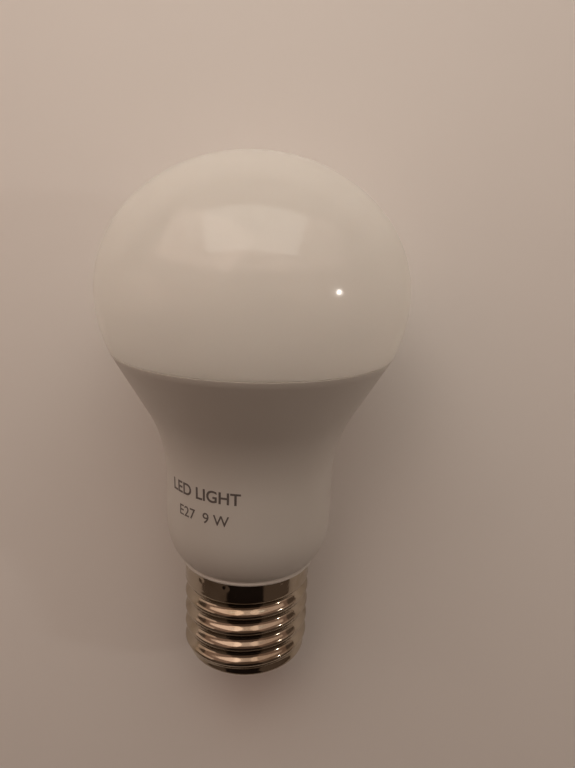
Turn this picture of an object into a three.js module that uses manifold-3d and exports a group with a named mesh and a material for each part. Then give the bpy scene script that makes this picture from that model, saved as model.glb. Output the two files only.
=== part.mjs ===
// A smart light bulb with a screw cap: a frosted globe glued on a white flared housing and, inside them, an LED
// board, a radio board, a mains driver and an aluminium heat sink. Millimetres, +Z along the lamp's axis from the
// cap towards the globe, origin at the middle of the centre contact's flat face.
import * as THREE from "three";
import { mergeVertices } from "three/addons/utils/BufferGeometryUtils.js";
import Module from "manifold-3d";

const wasm = await Module();
wasm.setup();

// ---------------------------------------------------------------- driving dimensions
const LENGTH = 109; // centre contact to crown
const GLOBE_R = 30; // widest radius of the globe
const GLOBE_WIDEST_Z = 83;
const SEAM_Z = 71.8; // where the globe sits on the housing
const SEAM_R = 27.5;
const NECK_R = 17.05; // the housing's straight neck
const CAP_TOP_Z = 27.2; // the housing's lip, which covers the screw shell's rim
const THREAD_CREST_R = 13.2; // E27: 26.4 mm across the crests
const THREAD_DEPTH = 1.0;
const THREAD_PITCH = 3.629; // 7 turns to the inch
const THREAD_CREST_Z = 9.8; // height of a crest where the thread crosses the +X side
const THREAD_TOP_Z = 22.0; // the groove fades out above this
const THREAD_FADE = 1.8;
const SHELL_WALL = 0.35;
const GAP = 0.3; // between pieces that touch on the real lamp
const SEAT = 0.05; // under a flat piece that lies on another
const ROUND = 32; // facets round the large turned pieces, the same on all so that they nest

// ---------------------------------------------------------------- materials
function material(color, roughness, metalness = 0) {
  return new THREE.MeshStandardMaterial({ color, roughness, metalness });
}

const diffuserPlastic = material("#f1ede6", 0.3);
const housingPlastic = material("#ece8e0", 0.4);
const sealant = material("#e6e4dc", 0.6);
const nickel = material("#c9c4b8", 0.18, 1);
const insulatorGlass = material("#17151a", 0.2);
const aluminium = material("#b8babc", 0.45, 1);
const thermalPadGrey = material("#8f949a", 0.9);
const sleevePlastic = material("#dcd9d0", 0.5);
const boardGreen = material("#1f5a36", 0.45);
const boardWhite = material("#f4f3ee", 0.4);
const ledPhosphor = material("#f3d35a", 0.4);
const steel = material("#a9abad", 0.3, 1);
const chipBlack = material("#1b1b1d", 0.5);
const connectorWhite = material("#e9e6dc", 0.5);
const capacitorSleeve = material("#23304f", 0.35);
const filmYellow = material("#d8a928", 0.4);
const varistorBlue = material("#2d63a8", 0.4);
const resistorGreen = material("#5f8f6a", 0.5);
const ferrite = material("#2c2b2c", 0.6);
const windingTape = material("#d9b23a", 0.4);
const copper = material("#b3673a", 0.35, 1);
const bobbinBlack = material("#202022", 0.5);
const wireRed = material("#a83a30", 0.5);
const wireBlue = material("#33559a", 0.5);

// ---------------------------------------------------------------- helpers
const lamp = new THREE.Group();

// Adds one named piece to the lamp at x, y, z.
function piece(name, geometry, itsMaterial, x = 0, y = 0, z = 0) {
  const mesh = new THREE.Mesh(geometry, itsMaterial);
  mesh.name = name;
  mesh.position.set(x, y, z);
  lamp.add(mesh);
}

// Turns a closed profile of [radius, height] points about Z.
function turned(profile, segments = 40) {
  const points = [...profile, profile[0]].map(([r, z]) => new THREE.Vector2(r, z));
  return new THREE.LatheGeometry(points, segments).rotateX(Math.PI / 2);
}

// A flat outline in X and Y, thickened upwards from z.
function plate(outline, z, thickness, curveSegments = 10) {
  const options = { depth: thickness, bevelEnabled: false, curveSegments };
  return new THREE.ExtrudeGeometry(outline, options).translate(0, 0, z);
}

// A flat outline in X and Z, thickened from backY towards -Y.
function wall(outline, backY, thickness) {
  const options = { depth: thickness, bevelEnabled: false, curveSegments: 8 };
  return new THREE.ExtrudeGeometry(outline, options).rotateX(Math.PI / 2).translate(0, backY, 0);
}

function box(width, depth, height, x = 0, y = 0, z = 0) {
  return new THREE.BoxGeometry(width, depth, height).translate(x, y, z);
}

// A rod along Z from z to z + height, about x, y.
function rod(radius, height, x = 0, y = 0, z = 0, segments = 16) {
  return new THREE.CylinderGeometry(radius, radius, height, segments)
    .rotateX(Math.PI / 2)
    .translate(x, y, z + height / 2);
}

// A rod along Y from y to y + length, about x, z.
function rodAlongY(radius, length, x, y, z, segments = 10) {
  return new THREE.CylinderGeometry(radius, radius, length, segments).translate(x, y + length / 2, z);
}

// A round wire through the given points.
function wire(points, radius, steps) {
  const section = new THREE.Shape().absarc(0, 0, radius, 0, 2 * Math.PI);
  const extrudePath = new THREE.CatmullRomCurve3(points.map((p) => new THREE.Vector3(...p)));
  return new THREE.ExtrudeGeometry(section, { steps, curveSegments: 4, bevelEnabled: false, extrudePath });
}

function rectangle(width, height, x = 0, y = 0) {
  return new THREE.Shape([
    new THREE.Vector2(x - width / 2, y - height / 2),
    new THREE.Vector2(x + width / 2, y - height / 2),
    new THREE.Vector2(x + width / 2, y + height / 2),
    new THREE.Vector2(x - width / 2, y + height / 2),
  ]);
}

function rectangularHole(width, height, x = 0, y = 0) {
  return new THREE.Path(rectangle(width, height, x, y).getPoints().reverse());
}

function roundHole(radius, x, y) {
  return new THREE.Path().absarc(x, y, radius, 0, 2 * Math.PI, true);
}

function solid(geometry) {
  const bare = geometry.clone();
  bare.deleteAttribute("normal");
  bare.deleteAttribute("uv");
  const merged = mergeVertices(bare, 1e-4);
  const data = { numProp: 3, vertProperties: merged.attributes.position.array, triVerts: merged.index.array };
  data.triVerts = new Uint32Array(data.triVerts);
  return new wasm.Manifold(new wasm.Mesh(data));
}

function geometryOf(manifold) {
  const mesh = manifold.getMesh();
  return new THREE.BufferGeometry()
    .setAttribute("position", new THREE.BufferAttribute(mesh.vertProperties, 3))
    .setIndex(new THREE.BufferAttribute(mesh.triVerts, 1));
}

function joined(first, ...others) {
  return geometryOf(others.reduce((sum, other) => sum.add(solid(other)), solid(first)));
}

function cut(first, ...tools) {
  return geometryOf(tools.reduce((rest, tool) => rest.subtract(solid(tool)), solid(first)));
}

// Presses the E27 thread's rounded groove into a turned piece, wherever its radius is given at the crest.
function pressThread(geometry, innermostR, outermostR) {
  const position = geometry.attributes.position;
  for (let i = 0; i < position.count; i += 1) {
    const x = position.getX(i);
    const y = position.getY(i);
    const z = position.getZ(i);
    const r = Math.hypot(x, y);
    const fade = 1 - THREE.MathUtils.smoothstep(z, THREAD_TOP_Z, THREAD_TOP_Z + THREAD_FADE);
    if (r < innermostR || r > outermostR || z > CAP_TOP_Z || fade === 0) continue;
    const turns = (z - THREAD_CREST_Z) / THREAD_PITCH - Math.atan2(y, x) / (2 * Math.PI);
    const groove = THREAD_DEPTH * fade * (0.5 - 0.5 * Math.cos(2 * Math.PI * turns));
    position.setX(i, (x * (r - groove)) / r);
    position.setY(i, (y * (r - groove)) / r);
  }
  return geometry;
}

// Points up a straight wall at a thread's crest radius, close enough together to carry the thread.
function threadedWall(radius, fromZ, toZ) {
  const count = Math.round((toZ - fromZ) / (THREAD_PITCH / 5));
  return Array.from({ length: count + 1 }, (_, i) => [radius, fromZ + ((toZ - fromZ) * i) / count]);
}

const polar = (radius, turn) => [radius * Math.cos(turn), radius * Math.sin(turn)];
const along = (curve, count) => curve.getPoints(count).map((p) => [p.x, p.y]);

// ---------------------------------------------------------------- screw cap
const SHELL_BOTTOM_Z = 5.2;
const SHELL_TAPER_Z = 8.0; // below this the shell draws in round the insulator
const SHELL_EDGE_R = 10.8;

function capShell() {
  const innerR = THREAD_CREST_R - SHELL_WALL;
  const outer = threadedWall(THREAD_CREST_R, SHELL_TAPER_Z, 24);
  const inner = threadedWall(innerR, SHELL_TAPER_Z, 24).reverse();
  const profile = [
    [SHELL_EDGE_R, SHELL_BOTTOM_Z],
    [SHELL_EDGE_R + 0.8, SHELL_BOTTOM_Z + 0.9],
    ...outer,
    [THREAD_CREST_R, CAP_TOP_Z - 0.25],
    [innerR, CAP_TOP_Z - 0.25],
    ...inner,
    [SHELL_EDGE_R + 0.4, SHELL_BOTTOM_Z + 1.3],
    [SHELL_EDGE_R - SHELL_WALL, SHELL_BOTTOM_Z + 0.15],
  ];
  return pressThread(turned(profile, ROUND), SHELL_EDGE_R + 1.1, THREAD_CREST_R + 0.1);
}
piece("cap_shell", capShell(), nickel);

const CONTACT_R = 4.75;
const INSULATOR_BASE_Z = 1.05;
const INSULATOR_TOP_Z = 7.2;
const PIN_R = 1.7;
const insulatorProfile = [
  [PIN_R + 0.2, INSULATOR_BASE_Z],
  [CONTACT_R + 1.2, INSULATOR_BASE_Z],
  [CONTACT_R + 1.9, INSULATOR_BASE_Z + 0.5],
  [SHELL_EDGE_R - SHELL_WALL - 0.35, SHELL_BOTTOM_Z - 0.4],
  [SHELL_EDGE_R - SHELL_WALL - 0.35, INSULATOR_TOP_Z],
  [PIN_R + 0.2, INSULATOR_TOP_Z],
];
piece("cap_insulator", turned(insulatorProfile, ROUND), insulatorGlass);

// A flanged pin pressed through the insulator, hollow at its inner end where the live lead is crimped.
const contactProfile = [
  [0, 0],
  [CONTACT_R - 0.5, 0],
  [CONTACT_R, 0.5],
  [CONTACT_R, INSULATOR_BASE_Z - SEAT],
  [PIN_R, INSULATOR_BASE_Z - SEAT],
  [PIN_R, INSULATOR_TOP_Z + 0.4],
  [1.0, INSULATOR_TOP_Z + 0.4],
  [1.0, 4],
  [0, 4],
];
piece("centre_contact", turned(contactProfile, 32), nickel);

// ---------------------------------------------------------------- housing
const HOUSING_WALL = 1.6;
const CONE_WALL = 1.9; // the same wall measured level across the flare
const SPIGOT_BORE_R = 10.6;
const SPIGOT_END_Z = 8.8;
const SHOULDER_Z = 31; // the driver sleeve stands here
const REBATE_R = 25.2; // the globe's spigot drops in here
const REBATE_Z = 68.9;
const FLARE_START_Z = 46;
const CONE_START = { r: 20.6, z: 60 };

function housingOutline() {
  const side = new THREE.Path()
    .moveTo(14, CAP_TOP_Z + 1.1)
    .quadraticCurveTo(NECK_R + 0.05, CAP_TOP_Z + 4.1, NECK_R, 38.5)
    .lineTo(NECK_R, FLARE_START_Z)
    .quadraticCurveTo(NECK_R, CONE_START.z - 6.1, CONE_START.r, CONE_START.z)
    .lineTo(SEAM_R, SEAM_Z);
  return along(side, 5);
}

function housing() {
  const spigotR = THREAD_CREST_R - SHELL_WALL - GAP;
  const coneSlope = (SEAM_R - CONE_START.r) / (SEAM_Z - CONE_START.z);
  const coneR = (z) => CONE_START.r + (z - CONE_START.z) * coneSlope;
  const profile = [
    [SPIGOT_BORE_R, SPIGOT_END_Z],
    [spigotR - THREAD_DEPTH - 0.3, SPIGOT_END_Z],
    ...threadedWall(spigotR, SPIGOT_END_Z + 0.6, 24),
    [spigotR, CAP_TOP_Z],
    [13.9, CAP_TOP_Z],
    [13.9, CAP_TOP_Z + 0.8],
    ...housingOutline(),
    [REBATE_R, SEAM_Z],
    [REBATE_R, REBATE_Z],
    [coneR(REBATE_Z) - CONE_WALL, REBATE_Z],
    [CONE_START.r - CONE_WALL, CONE_START.z],
    [16.4, 56],
    [NECK_R - HOUSING_WALL, 51.5],
    [NECK_R - HOUSING_WALL, SHOULDER_Z + 3],
    [NECK_R - HOUSING_WALL - 1.2, SHOULDER_Z],
    [SPIGOT_BORE_R, SHOULDER_Z],
  ];
  return pressThread(turned(profile, ROUND), spigotR - 0.1, spigotR + 0.1);
}
piece("lamp_housing", housing(), housingPlastic);

// ---------------------------------------------------------------- globe
const GLOBE_WALL = 1.4;
const GLOBE_SPIGOT_R = REBATE_R - GAP;

function globe() {
  const crown = new THREE.EllipseCurve(0, GLOBE_WIDEST_Z, GLOBE_R, LENGTH - GLOBE_WIDEST_Z, 0, Math.PI / 2);
  const skirt = new THREE.EllipseCurve(0, GLOBE_WIDEST_Z, GLOBE_R, 28, -0.411, 0);
  const inner = { r: GLOBE_R - GLOBE_WALL, h: LENGTH - GLOBE_WIDEST_Z - GLOBE_WALL };
  const innerCrown = new THREE.EllipseCurve(0, GLOBE_WIDEST_Z, inner.r, inner.h, Math.PI / 2, 0, true);
  const innerSkirt = new THREE.EllipseCurve(0, GLOBE_WIDEST_Z, inner.r, 26.6, 0, -0.43, true);
  const profile = [
    [GLOBE_SPIGOT_R - GLOBE_WALL, REBATE_Z + 1],
    [GLOBE_SPIGOT_R, REBATE_Z + 1],
    [GLOBE_SPIGOT_R, SEAM_Z + 0.1],
    ...along(skirt, 3),
    ...along(crown, 10).slice(1),
    ...along(innerCrown, 9),
    ...along(innerSkirt, 3).slice(1),
    [GLOBE_SPIGOT_R - GLOBE_WALL, SEAM_Z + 0.1],
  ];
  return turned(profile, ROUND);
}
piece("globe_diffuser", globe(), diffuserPlastic);

// The silicone bead that glues the globe's spigot into the rebate.
const BEAD = { innerR: 24.3, outerR: REBATE_R - 0.1, bottomZ: REBATE_Z + SEAT, topZ: REBATE_Z + 0.9 };
const beadProfile = [
  [BEAD.innerR, BEAD.bottomZ],
  [BEAD.outerR, BEAD.bottomZ],
  [BEAD.outerR, BEAD.topZ],
  [BEAD.innerR, BEAD.topZ],
];
piece("rim_sealant", turned(beadProfile, ROUND), sealant);

// ---------------------------------------------------------------- heat sink and LED board
const LED_BOARD_Z = 68; // underside
const LED_BOARD_R = 21.8;
const LED_BOARD_T = 1.6;
const PAD_T = 0.4;
const SPREADER_T = 1.2;
const SPREADER_R = 22.1;
const SPREADER_Z = LED_BOARD_Z - PAD_T - SPREADER_T - 2 * SEAT;
const SCREW_RING_R = 18.9;
const SCREW_TURNS = [1, 5, 9].map((step) => (step * Math.PI) / 6 + Math.PI / 12);
const RADIO_Y = -2.5; // middle plane of the radio board
const SLOT = { width: 14.2, depth: 2.2 };
const WINDOW = { width: 6.4, depth: 2.4 };
const POWER_Y = 7; // where the power pins come up through the board

const CUP_WALL = 0.9;
const CUP_BOTTOM_Z = 35;
const cupR = NECK_R - HOUSING_WALL - GAP;
const cupProfile = [
  [cupR - CUP_WALL, CUP_BOTTOM_Z],
  [cupR, CUP_BOTTOM_Z],
  [cupR, 51.2],
  [16.0, 55.7],
  [18.4, 60],
  [21.85, SPREADER_Z - SEAT],
  [20.75, SPREADER_Z - SEAT],
  [17.4, 60.3],
  [15.1, 56.3],
  [cupR - CUP_WALL, 51.6],
];
piece("heat_sink_cup", turned(cupProfile, ROUND), aluminium);

// The outline that the spreader, the pad and the LED board share: a disc with a slot for the radio board, a window
// for the power pins and three screw holes.
function lightEngineDisc(radius, screwHoleR) {
  const disc = new THREE.Shape().absarc(0, 0, radius, 0, 2 * Math.PI);
  disc.holes.push(rectangularHole(SLOT.width, SLOT.depth, 0, RADIO_Y));
  disc.holes.push(rectangularHole(WINDOW.width, WINDOW.depth, 0, POWER_Y));
  SCREW_TURNS.forEach((turn) => disc.holes.push(roundHole(screwHoleR, ...polar(SCREW_RING_R, turn))));
  return disc;
}
piece("heat_spreader", plate(lightEngineDisc(SPREADER_R, 1.5), SPREADER_Z, SPREADER_T), aluminium);
piece("thermal_pad", plate(lightEngineDisc(21.2, 1.7), SPREADER_Z + SPREADER_T + SEAT, PAD_T), thermalPadGrey);
piece("led_board", plate(lightEngineDisc(LED_BOARD_R, 1.5), LED_BOARD_Z, LED_BOARD_T), boardWhite);

const BOARD_TOP_Z = LED_BOARD_Z + LED_BOARD_T + SEAT;
const LED_COUNT = 12;
const LED_RING_R = 15.6;
const LED = { across: 3.5, radial: 2.8, height: 0.8 };
for (let i = 0; i < LED_COUNT; i += 1) {
  const turn = (i * 2 * Math.PI) / LED_COUNT;
  const chip = box(LED.radial, LED.across, LED.height).rotateZ(turn);
  const [x, y] = polar(LED_RING_R, turn);
  piece(`led_${String(i + 1).padStart(2, "0")}`, chip, ledPhosphor, x, y, BOARD_TOP_Z + LED.height / 2);
}

// Pan-head screws with a cross recess.
const SCREW = { headR: 2.2, headH: 1.7, shankR: 1.2, length: 5 };
const screwProfile = [
  [0, -SCREW.length],
  [SCREW.shankR - 0.5, -SCREW.length],
  [SCREW.shankR, -SCREW.length + 0.8],
  [SCREW.shankR, 0],
  [SCREW.headR, 0],
  [SCREW.headR, 0.7],
  [SCREW.headR - 0.5, 1.4],
  [1.0, SCREW.headH],
  [0, SCREW.headH],
];
const screwGeometry = cut(turned(screwProfile, 16), box(2.6, 0.5, 2, 0, 0, 1.8), box(0.5, 2.6, 2, 0, 0, 1.8));
SCREW_TURNS.forEach((turn, i) => {
  piece(`board_screw_${i + 1}`, screwGeometry.clone(), steel, ...polar(SCREW_RING_R, turn), BOARD_TOP_Z);
});

// A two-way socket over the window, where the power pins end.
const PIN_PITCH = 2.54;
const SOCKET = { width: 8.4, depth: 4.6, height: 3.2, hole: 1.1 };
const holeH = SOCKET.height + 1;
const socketHoles = [-PIN_PITCH / 2, PIN_PITCH / 2].map((x) => box(SOCKET.hole, SOCKET.hole, holeH, x));
const socket = cut(box(SOCKET.width, SOCKET.depth, SOCKET.height), ...socketHoles);
piece("led_connector", socket, connectorWhite, 0, POWER_Y, BOARD_TOP_Z + SOCKET.height / 2);

// ---------------------------------------------------------------- driver sleeve and board
const SLEEVE_R = 13.8;
const SLEEVE_WALL = 0.9;
const SLEEVE_TOP_Z = 62.5;
const DRIVER = { y: 3.3, t: 1.6, halfWidth: 11.9, tongueHalf: 9.2, bottomZ: 12, stepZ: 31.6, topZ: 62 };
const DRIVER_FRONT_Y = DRIVER.y - DRIVER.t;
const RAIL = { width: 2.2, depth: 0.9, length: 24, bottomZ: 32.5 };

function driverSleeve() {
  const profile = [
    [SLEEVE_R - SLEEVE_WALL, SHOULDER_Z + SEAT],
    [SLEEVE_R, SHOULDER_Z + SEAT],
    [SLEEVE_R, SLEEVE_TOP_Z],
    [SLEEVE_R - SLEEVE_WALL, SLEEVE_TOP_Z],
  ];
  const rails = [];
  for (const side of [-1, 1]) {
    for (const y of [DRIVER_FRONT_Y - 0.25 - RAIL.depth / 2, DRIVER.y + 0.25 + RAIL.depth / 2]) {
      const z = RAIL.bottomZ + RAIL.length / 2;
      rails.push(box(RAIL.width, RAIL.depth, RAIL.length, side * 12.0, y, z));
    }
  }
  return joined(turned(profile, 32), ...rails);
}
piece("driver_sleeve", driverSleeve(), sleevePlastic);

const driverOutline = new THREE.Shape([
  new THREE.Vector2(-DRIVER.tongueHalf, DRIVER.bottomZ),
  new THREE.Vector2(DRIVER.tongueHalf, DRIVER.bottomZ),
  new THREE.Vector2(DRIVER.tongueHalf, DRIVER.stepZ),
  new THREE.Vector2(DRIVER.halfWidth, DRIVER.stepZ + 1.2),
  new THREE.Vector2(DRIVER.halfWidth, DRIVER.topZ),
  new THREE.Vector2(-DRIVER.halfWidth, DRIVER.topZ),
  new THREE.Vector2(-DRIVER.halfWidth, DRIVER.stepZ + 1.2),
  new THREE.Vector2(-DRIVER.tongueHalf, DRIVER.stepZ),
]);
piece("driver_board", wall(driverOutline, DRIVER.y, DRIVER.t), boardGreen);

// ---------------------------------------------------------------- parts on the driver board
const LEG_R = 0.35;
const CAN_LEG_X = 1.3; // the legs stand this far to each side of a can capacitor's axis
const LEG_END_Y = DRIVER_FRONT_Y - SEAT;

// A can capacitor lying along Z with a crimp groove near its foot and two legs to the board.
function canCapacitor(radius, length, x, y, z) {
  const profile = [
    [0, 0],
    [radius - 0.3, 0],
    [radius, 0.3],
    [radius, 1.4],
    [radius - 0.4, 1.8],
    [radius, 2.2],
    [radius, length - 0.5],
    [radius - 0.5, length],
    [0, length],
  ];
  const can = turned(profile, 24).translate(x, y, z);
  const legs = [-1, 1].flatMap((side) => {
    const legX = x + side * CAN_LEG_X;
    const drop = box(2 * LEG_R, 2 * LEG_R, 1.6, legX, y, z - 0.7);
    const across = box(2 * LEG_R, LEG_END_Y - y + LEG_R, 2 * LEG_R, legX, (LEG_END_Y + y - LEG_R) / 2, z - 1.5);
    return [drop, across];
  });
  return joined(can, ...legs);
}
piece("bulk_capacitor", canCapacitor(5, 15, 5.8, -4.6, 34.4), capacitorSleeve);
piece("output_capacitor", canCapacitor(4, 9.5, 6.4, -3.6, 52.2), capacitorSleeve);

// The safety fuse resistor stands along Z on two bent legs.
const FUSE = { r: 1.5, capR: 1.7, capH: 1.6, length: 8.4, legRise: 1.6 };
function fuseResistor(x, y, z) {
  const topZ = z + FUSE.length;
  const legs = [
    { endZ: z - FUSE.legRise, bodyZ: z + LEG_R },
    { endZ: topZ + FUSE.legRise, bodyZ: topZ - LEG_R },
  ].flatMap(({ endZ, bodyZ }) => [
    box(2 * LEG_R, 2 * LEG_R, Math.abs(bodyZ - endZ), x, y, (endZ + bodyZ) / 2),
    box(2 * LEG_R, LEG_END_Y - y + LEG_R, 2 * LEG_R, x, (LEG_END_Y + y - LEG_R) / 2, endZ),
  ]);
  const caps = [z, topZ - FUSE.capH].map((capZ) => rod(FUSE.capR, FUSE.capH, x, y, capZ));
  return joined(rod(FUSE.r, FUSE.length, x, y, z), ...caps, ...legs);
}
piece("fuse_resistor", fuseResistor(-5.6, -0.8, 14.6), resistorGreen);

// The surge varistor is a coated disc, edge-on to the axis, on two straight legs.
const VARISTOR = { r: 3.7, t: 3.2, x: 4.6, frontY: -2.6, z: 18, legX: 1.8 };
const varistorLegY = VARISTOR.frontY + VARISTOR.t - 0.1;
const varistorLegs = [-1, 1].map((side) =>
  rodAlongY(LEG_R, LEG_END_Y - varistorLegY, VARISTOR.x + side * VARISTOR.legX, varistorLegY, VARISTOR.z, 6),
);
const varistor = joined(
  rodAlongY(VARISTOR.r, VARISTOR.t, VARISTOR.x, VARISTOR.frontY, VARISTOR.z, 20),
  ...varistorLegs,
);
piece("surge_varistor", varistor, varistorBlue);

const FILM = { width: 8, depth: 5.6, height: 6.4, x: 1.6, z: 26.6, lift: 0.6, legX: 2.5 };
const filmY = DRIVER_FRONT_Y - FILM.lift - FILM.depth / 2;
const filmLegs = [-1, 1].map((side) =>
  rodAlongY(LEG_R, 2 * FILM.lift, FILM.x + side * FILM.legX, LEG_END_Y - 2 * FILM.lift, FILM.z, 6),
);
const filmCapacitor = joined(box(FILM.width, FILM.depth, FILM.height, FILM.x, filmY, FILM.z), ...filmLegs);
piece("filter_capacitor", filmCapacitor, filmYellow);

// The flyback transformer: a ferrite frame with a middle leg, and round that leg a bobbin with its winding.
const TRANSFORMER = { x: -5.0, y: -3.8, z: 41.2, width: 10, height: 12, depth: 5 };
const CORE_WINDOW = { width: 2, height: 8, x: 2.5 };
function transformerCore() {
  const windows = [-1, 1].map((side) =>
    box(CORE_WINDOW.width, TRANSFORMER.depth + 1, CORE_WINDOW.height, side * CORE_WINDOW.x),
  );
  return cut(box(TRANSFORMER.width, TRANSFORMER.depth, TRANSFORMER.height), ...windows);
}
piece("transformer_core", transformerCore(), ferrite, TRANSFORMER.x, TRANSFORMER.y, TRANSFORMER.z);

// A level rectangular ring from z up, about the transformer's middle leg.
function ring(outerWidth, outerDepth, innerWidth, innerDepth, z, height) {
  const shape = rectangle(outerWidth, outerDepth);
  shape.holes.push(rectangularHole(innerWidth, innerDepth));
  return plate(shape, z, height);
}
const BOBBIN = { width: 4.2, depth: 6.2, holeWidth: 3.3, holeDepth: 5.3, height: 7.4, flange: 0.6 };
const FLANGE = { width: 6.6, depth: 9.6 };
const bobbinRing = (width, depth, z, height) => ring(width, depth, BOBBIN.holeWidth, BOBBIN.holeDepth, z, height);
const bobbin = joined(
  bobbinRing(BOBBIN.width, BOBBIN.depth, -BOBBIN.height / 2, BOBBIN.height),
  bobbinRing(FLANGE.width, FLANGE.depth, -BOBBIN.height / 2, BOBBIN.flange),
  bobbinRing(FLANGE.width, FLANGE.depth, BOBBIN.height / 2 - BOBBIN.flange, BOBBIN.flange),
);
piece("transformer_bobbin", bobbin, bobbinBlack, TRANSFORMER.x, TRANSFORMER.y, TRANSFORMER.z);
const winding = ring(6.1, 9.0, BOBBIN.width + 0.2, BOBBIN.depth + 0.2, -3, 6);
piece("transformer_winding", winding, windingTape, TRANSFORMER.x, TRANSFORMER.y, TRANSFORMER.z);

// The line filter choke: a ferrite drum standing along Z with copper wound in its waist.
const CHOKE = { x: -6.4, y: -3.4, z: 49.4, r: 3.5, waistR: 1.6, height: 7, rim: 1.2 };
const chokeProfile = [
  [0, 0],
  [CHOKE.r, 0],
  [CHOKE.r, CHOKE.rim],
  [CHOKE.waistR, CHOKE.rim],
  [CHOKE.waistR, CHOKE.height - CHOKE.rim],
  [CHOKE.r, CHOKE.height - CHOKE.rim],
  [CHOKE.r, CHOKE.height],
  [0, CHOKE.height],
];
piece("filter_choke_core", turned(chokeProfile, 24), ferrite, CHOKE.x, CHOKE.y, CHOKE.z);
const chokeWindingProfile = [
  [CHOKE.waistR + 0.1, CHOKE.rim + 0.15],
  [CHOKE.r - 0.4, CHOKE.rim + 0.15],
  [CHOKE.r - 0.4, CHOKE.height - CHOKE.rim - 0.15],
  [CHOKE.waistR + 0.1, CHOKE.height - CHOKE.rim - 0.15],
];
piece("filter_choke_winding", turned(chokeWindingProfile, 24), copper, CHOKE.x, CHOKE.y, CHOKE.z);

// Surface-mounted parts on the back of the board: a body and a row of gull-wing legs along each long edge.
const LEAD = { length: 1.5, t: 0.3, width: 0.5, centreOut: 0.4 };
function smdChip(width, height, depth, x, z, legsPerSide, legPitch) {
  const leadY = DRIVER.y + SEAT + LEAD.t / 2;
  const leads = [-1, 1].flatMap((side) =>
    Array.from({ length: legsPerSide }, (_, i) => {
      const leadZ = z + (i - (legsPerSide - 1) / 2) * legPitch;
      return box(LEAD.length, LEAD.t, LEAD.width, x + side * (width / 2 + LEAD.centreOut), leadY, leadZ);
    }),
  );
  return joined(box(width, depth, height, x, leadY + depth / 2, z), ...leads);
}
piece("bridge_rectifier", smdChip(4.0, 4.8, 2.4, 0, 23, 2, PIN_PITCH), chipBlack);
piece("driver_chip", smdChip(3.9, 4.9, 1.5, 4.6, 47, 4, PIN_PITCH / 2), chipBlack);
piece("power_switch", smdChip(6.0, 6.5, 2.2, -4.4, 39, 2, 2.3), chipBlack);
piece("output_diode", smdChip(3.6, 4.6, 2.2, -4.6, 53.5, 1, 1), chipBlack);

// The right-angle power header: a block on the back of the board, and two pins that rise through the LED board.
const PIN_TOP_Z = BOARD_TOP_Z + 2.6;
const PIN = 0.64; // the pins are square
const HEADER = { width: 2 * PIN_PITCH, side: 2.5, z: 59.5 };
const headerY = DRIVER.y + SEAT + HEADER.side / 2;
const powerPins = [-PIN_PITCH / 2, PIN_PITCH / 2].flatMap((x) => [
  box(PIN, POWER_Y + PIN / 2 - headerY, PIN, x, (POWER_Y + PIN / 2 + headerY) / 2, HEADER.z),
  box(PIN, PIN, PIN_TOP_Z - HEADER.z + PIN / 2, x, POWER_Y, (PIN_TOP_Z + HEADER.z - PIN / 2) / 2),
]);
const powerHeader = joined(box(HEADER.width, HEADER.side, HEADER.side, 0, headerY, HEADER.z), ...powerPins);
piece("power_header", powerHeader, bobbinBlack);

// ---------------------------------------------------------------- radio board
const RADIO = { width: 13, t: 1, bottomZ: 57.2, shoulderZ: 63, topZ: 83 };
const RADIO_TAIL = { x: -1.05, width: 5.1 }; // the narrow tail passes between the capacitor and the choke
const RADIO_FRONT_Y = RADIO_Y - RADIO.t / 2;
const RADIO_BACK_Y = RADIO_Y + RADIO.t / 2;
const radioOutline = new THREE.Shape([
  new THREE.Vector2(RADIO_TAIL.x - RADIO_TAIL.width / 2, RADIO.bottomZ),
  new THREE.Vector2(RADIO_TAIL.x + RADIO_TAIL.width / 2, RADIO.bottomZ),
  new THREE.Vector2(RADIO_TAIL.x + RADIO_TAIL.width / 2, RADIO.shoulderZ),
  new THREE.Vector2(RADIO.width / 2, RADIO.shoulderZ),
  new THREE.Vector2(RADIO.width / 2, RADIO.topZ - 0.8),
  new THREE.Vector2(RADIO.width / 2 - 0.8, RADIO.topZ),
  new THREE.Vector2(-RADIO.width / 2 + 0.8, RADIO.topZ),
  new THREE.Vector2(-RADIO.width / 2, RADIO.topZ - 0.8),
  new THREE.Vector2(-RADIO.width / 2, RADIO.shoulderZ),
  new THREE.Vector2(RADIO_TAIL.x - RADIO_TAIL.width / 2, RADIO.shoulderZ),
]);
piece("radio_board", wall(radioOutline, RADIO_BACK_Y, RADIO.t), boardGreen);
const RADIO_CHIP = { side: 5, t: 0.9, z: 73.6 };
const radioChip = box(RADIO_CHIP.side, RADIO_CHIP.t, RADIO_CHIP.side);
piece("radio_chip", radioChip, chipBlack, 0, RADIO_FRONT_Y - SEAT - RADIO_CHIP.t / 2, RADIO_CHIP.z);
const CRYSTAL = { width: 3.2, t: 0.8, height: 2.5, x: 3.9, z: 77.9 };
const crystal = box(CRYSTAL.width, CRYSTAL.t, CRYSTAL.height);
piece("radio_crystal", crystal, steel, CRYSTAL.x, RADIO_FRONT_Y - SEAT - CRYSTAL.t / 2, CRYSTAL.z);

// The header that carries the radio board on the driver board.
const headerDepth = DRIVER_FRONT_Y - RADIO_BACK_Y - 2 * SEAT;
const radioHeader = box(4.4, headerDepth, 2.5, RADIO_TAIL.x, (DRIVER_FRONT_Y + RADIO_BACK_Y) / 2, 60.4);
piece("radio_header", radioHeader, bobbinBlack);

// ---------------------------------------------------------------- leads
const liveRoute = [
  [1.6, 2.5, DRIVER.bottomZ - SEAT],
  [1.6, 2.4, 11],
  [0.7, 1.2, 9.6],
  [0, 0, 8.2],
  [0, 0, 4.3],
];
piece("live_lead", wire(liveRoute, 0.6, 14), wireRed);

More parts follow.
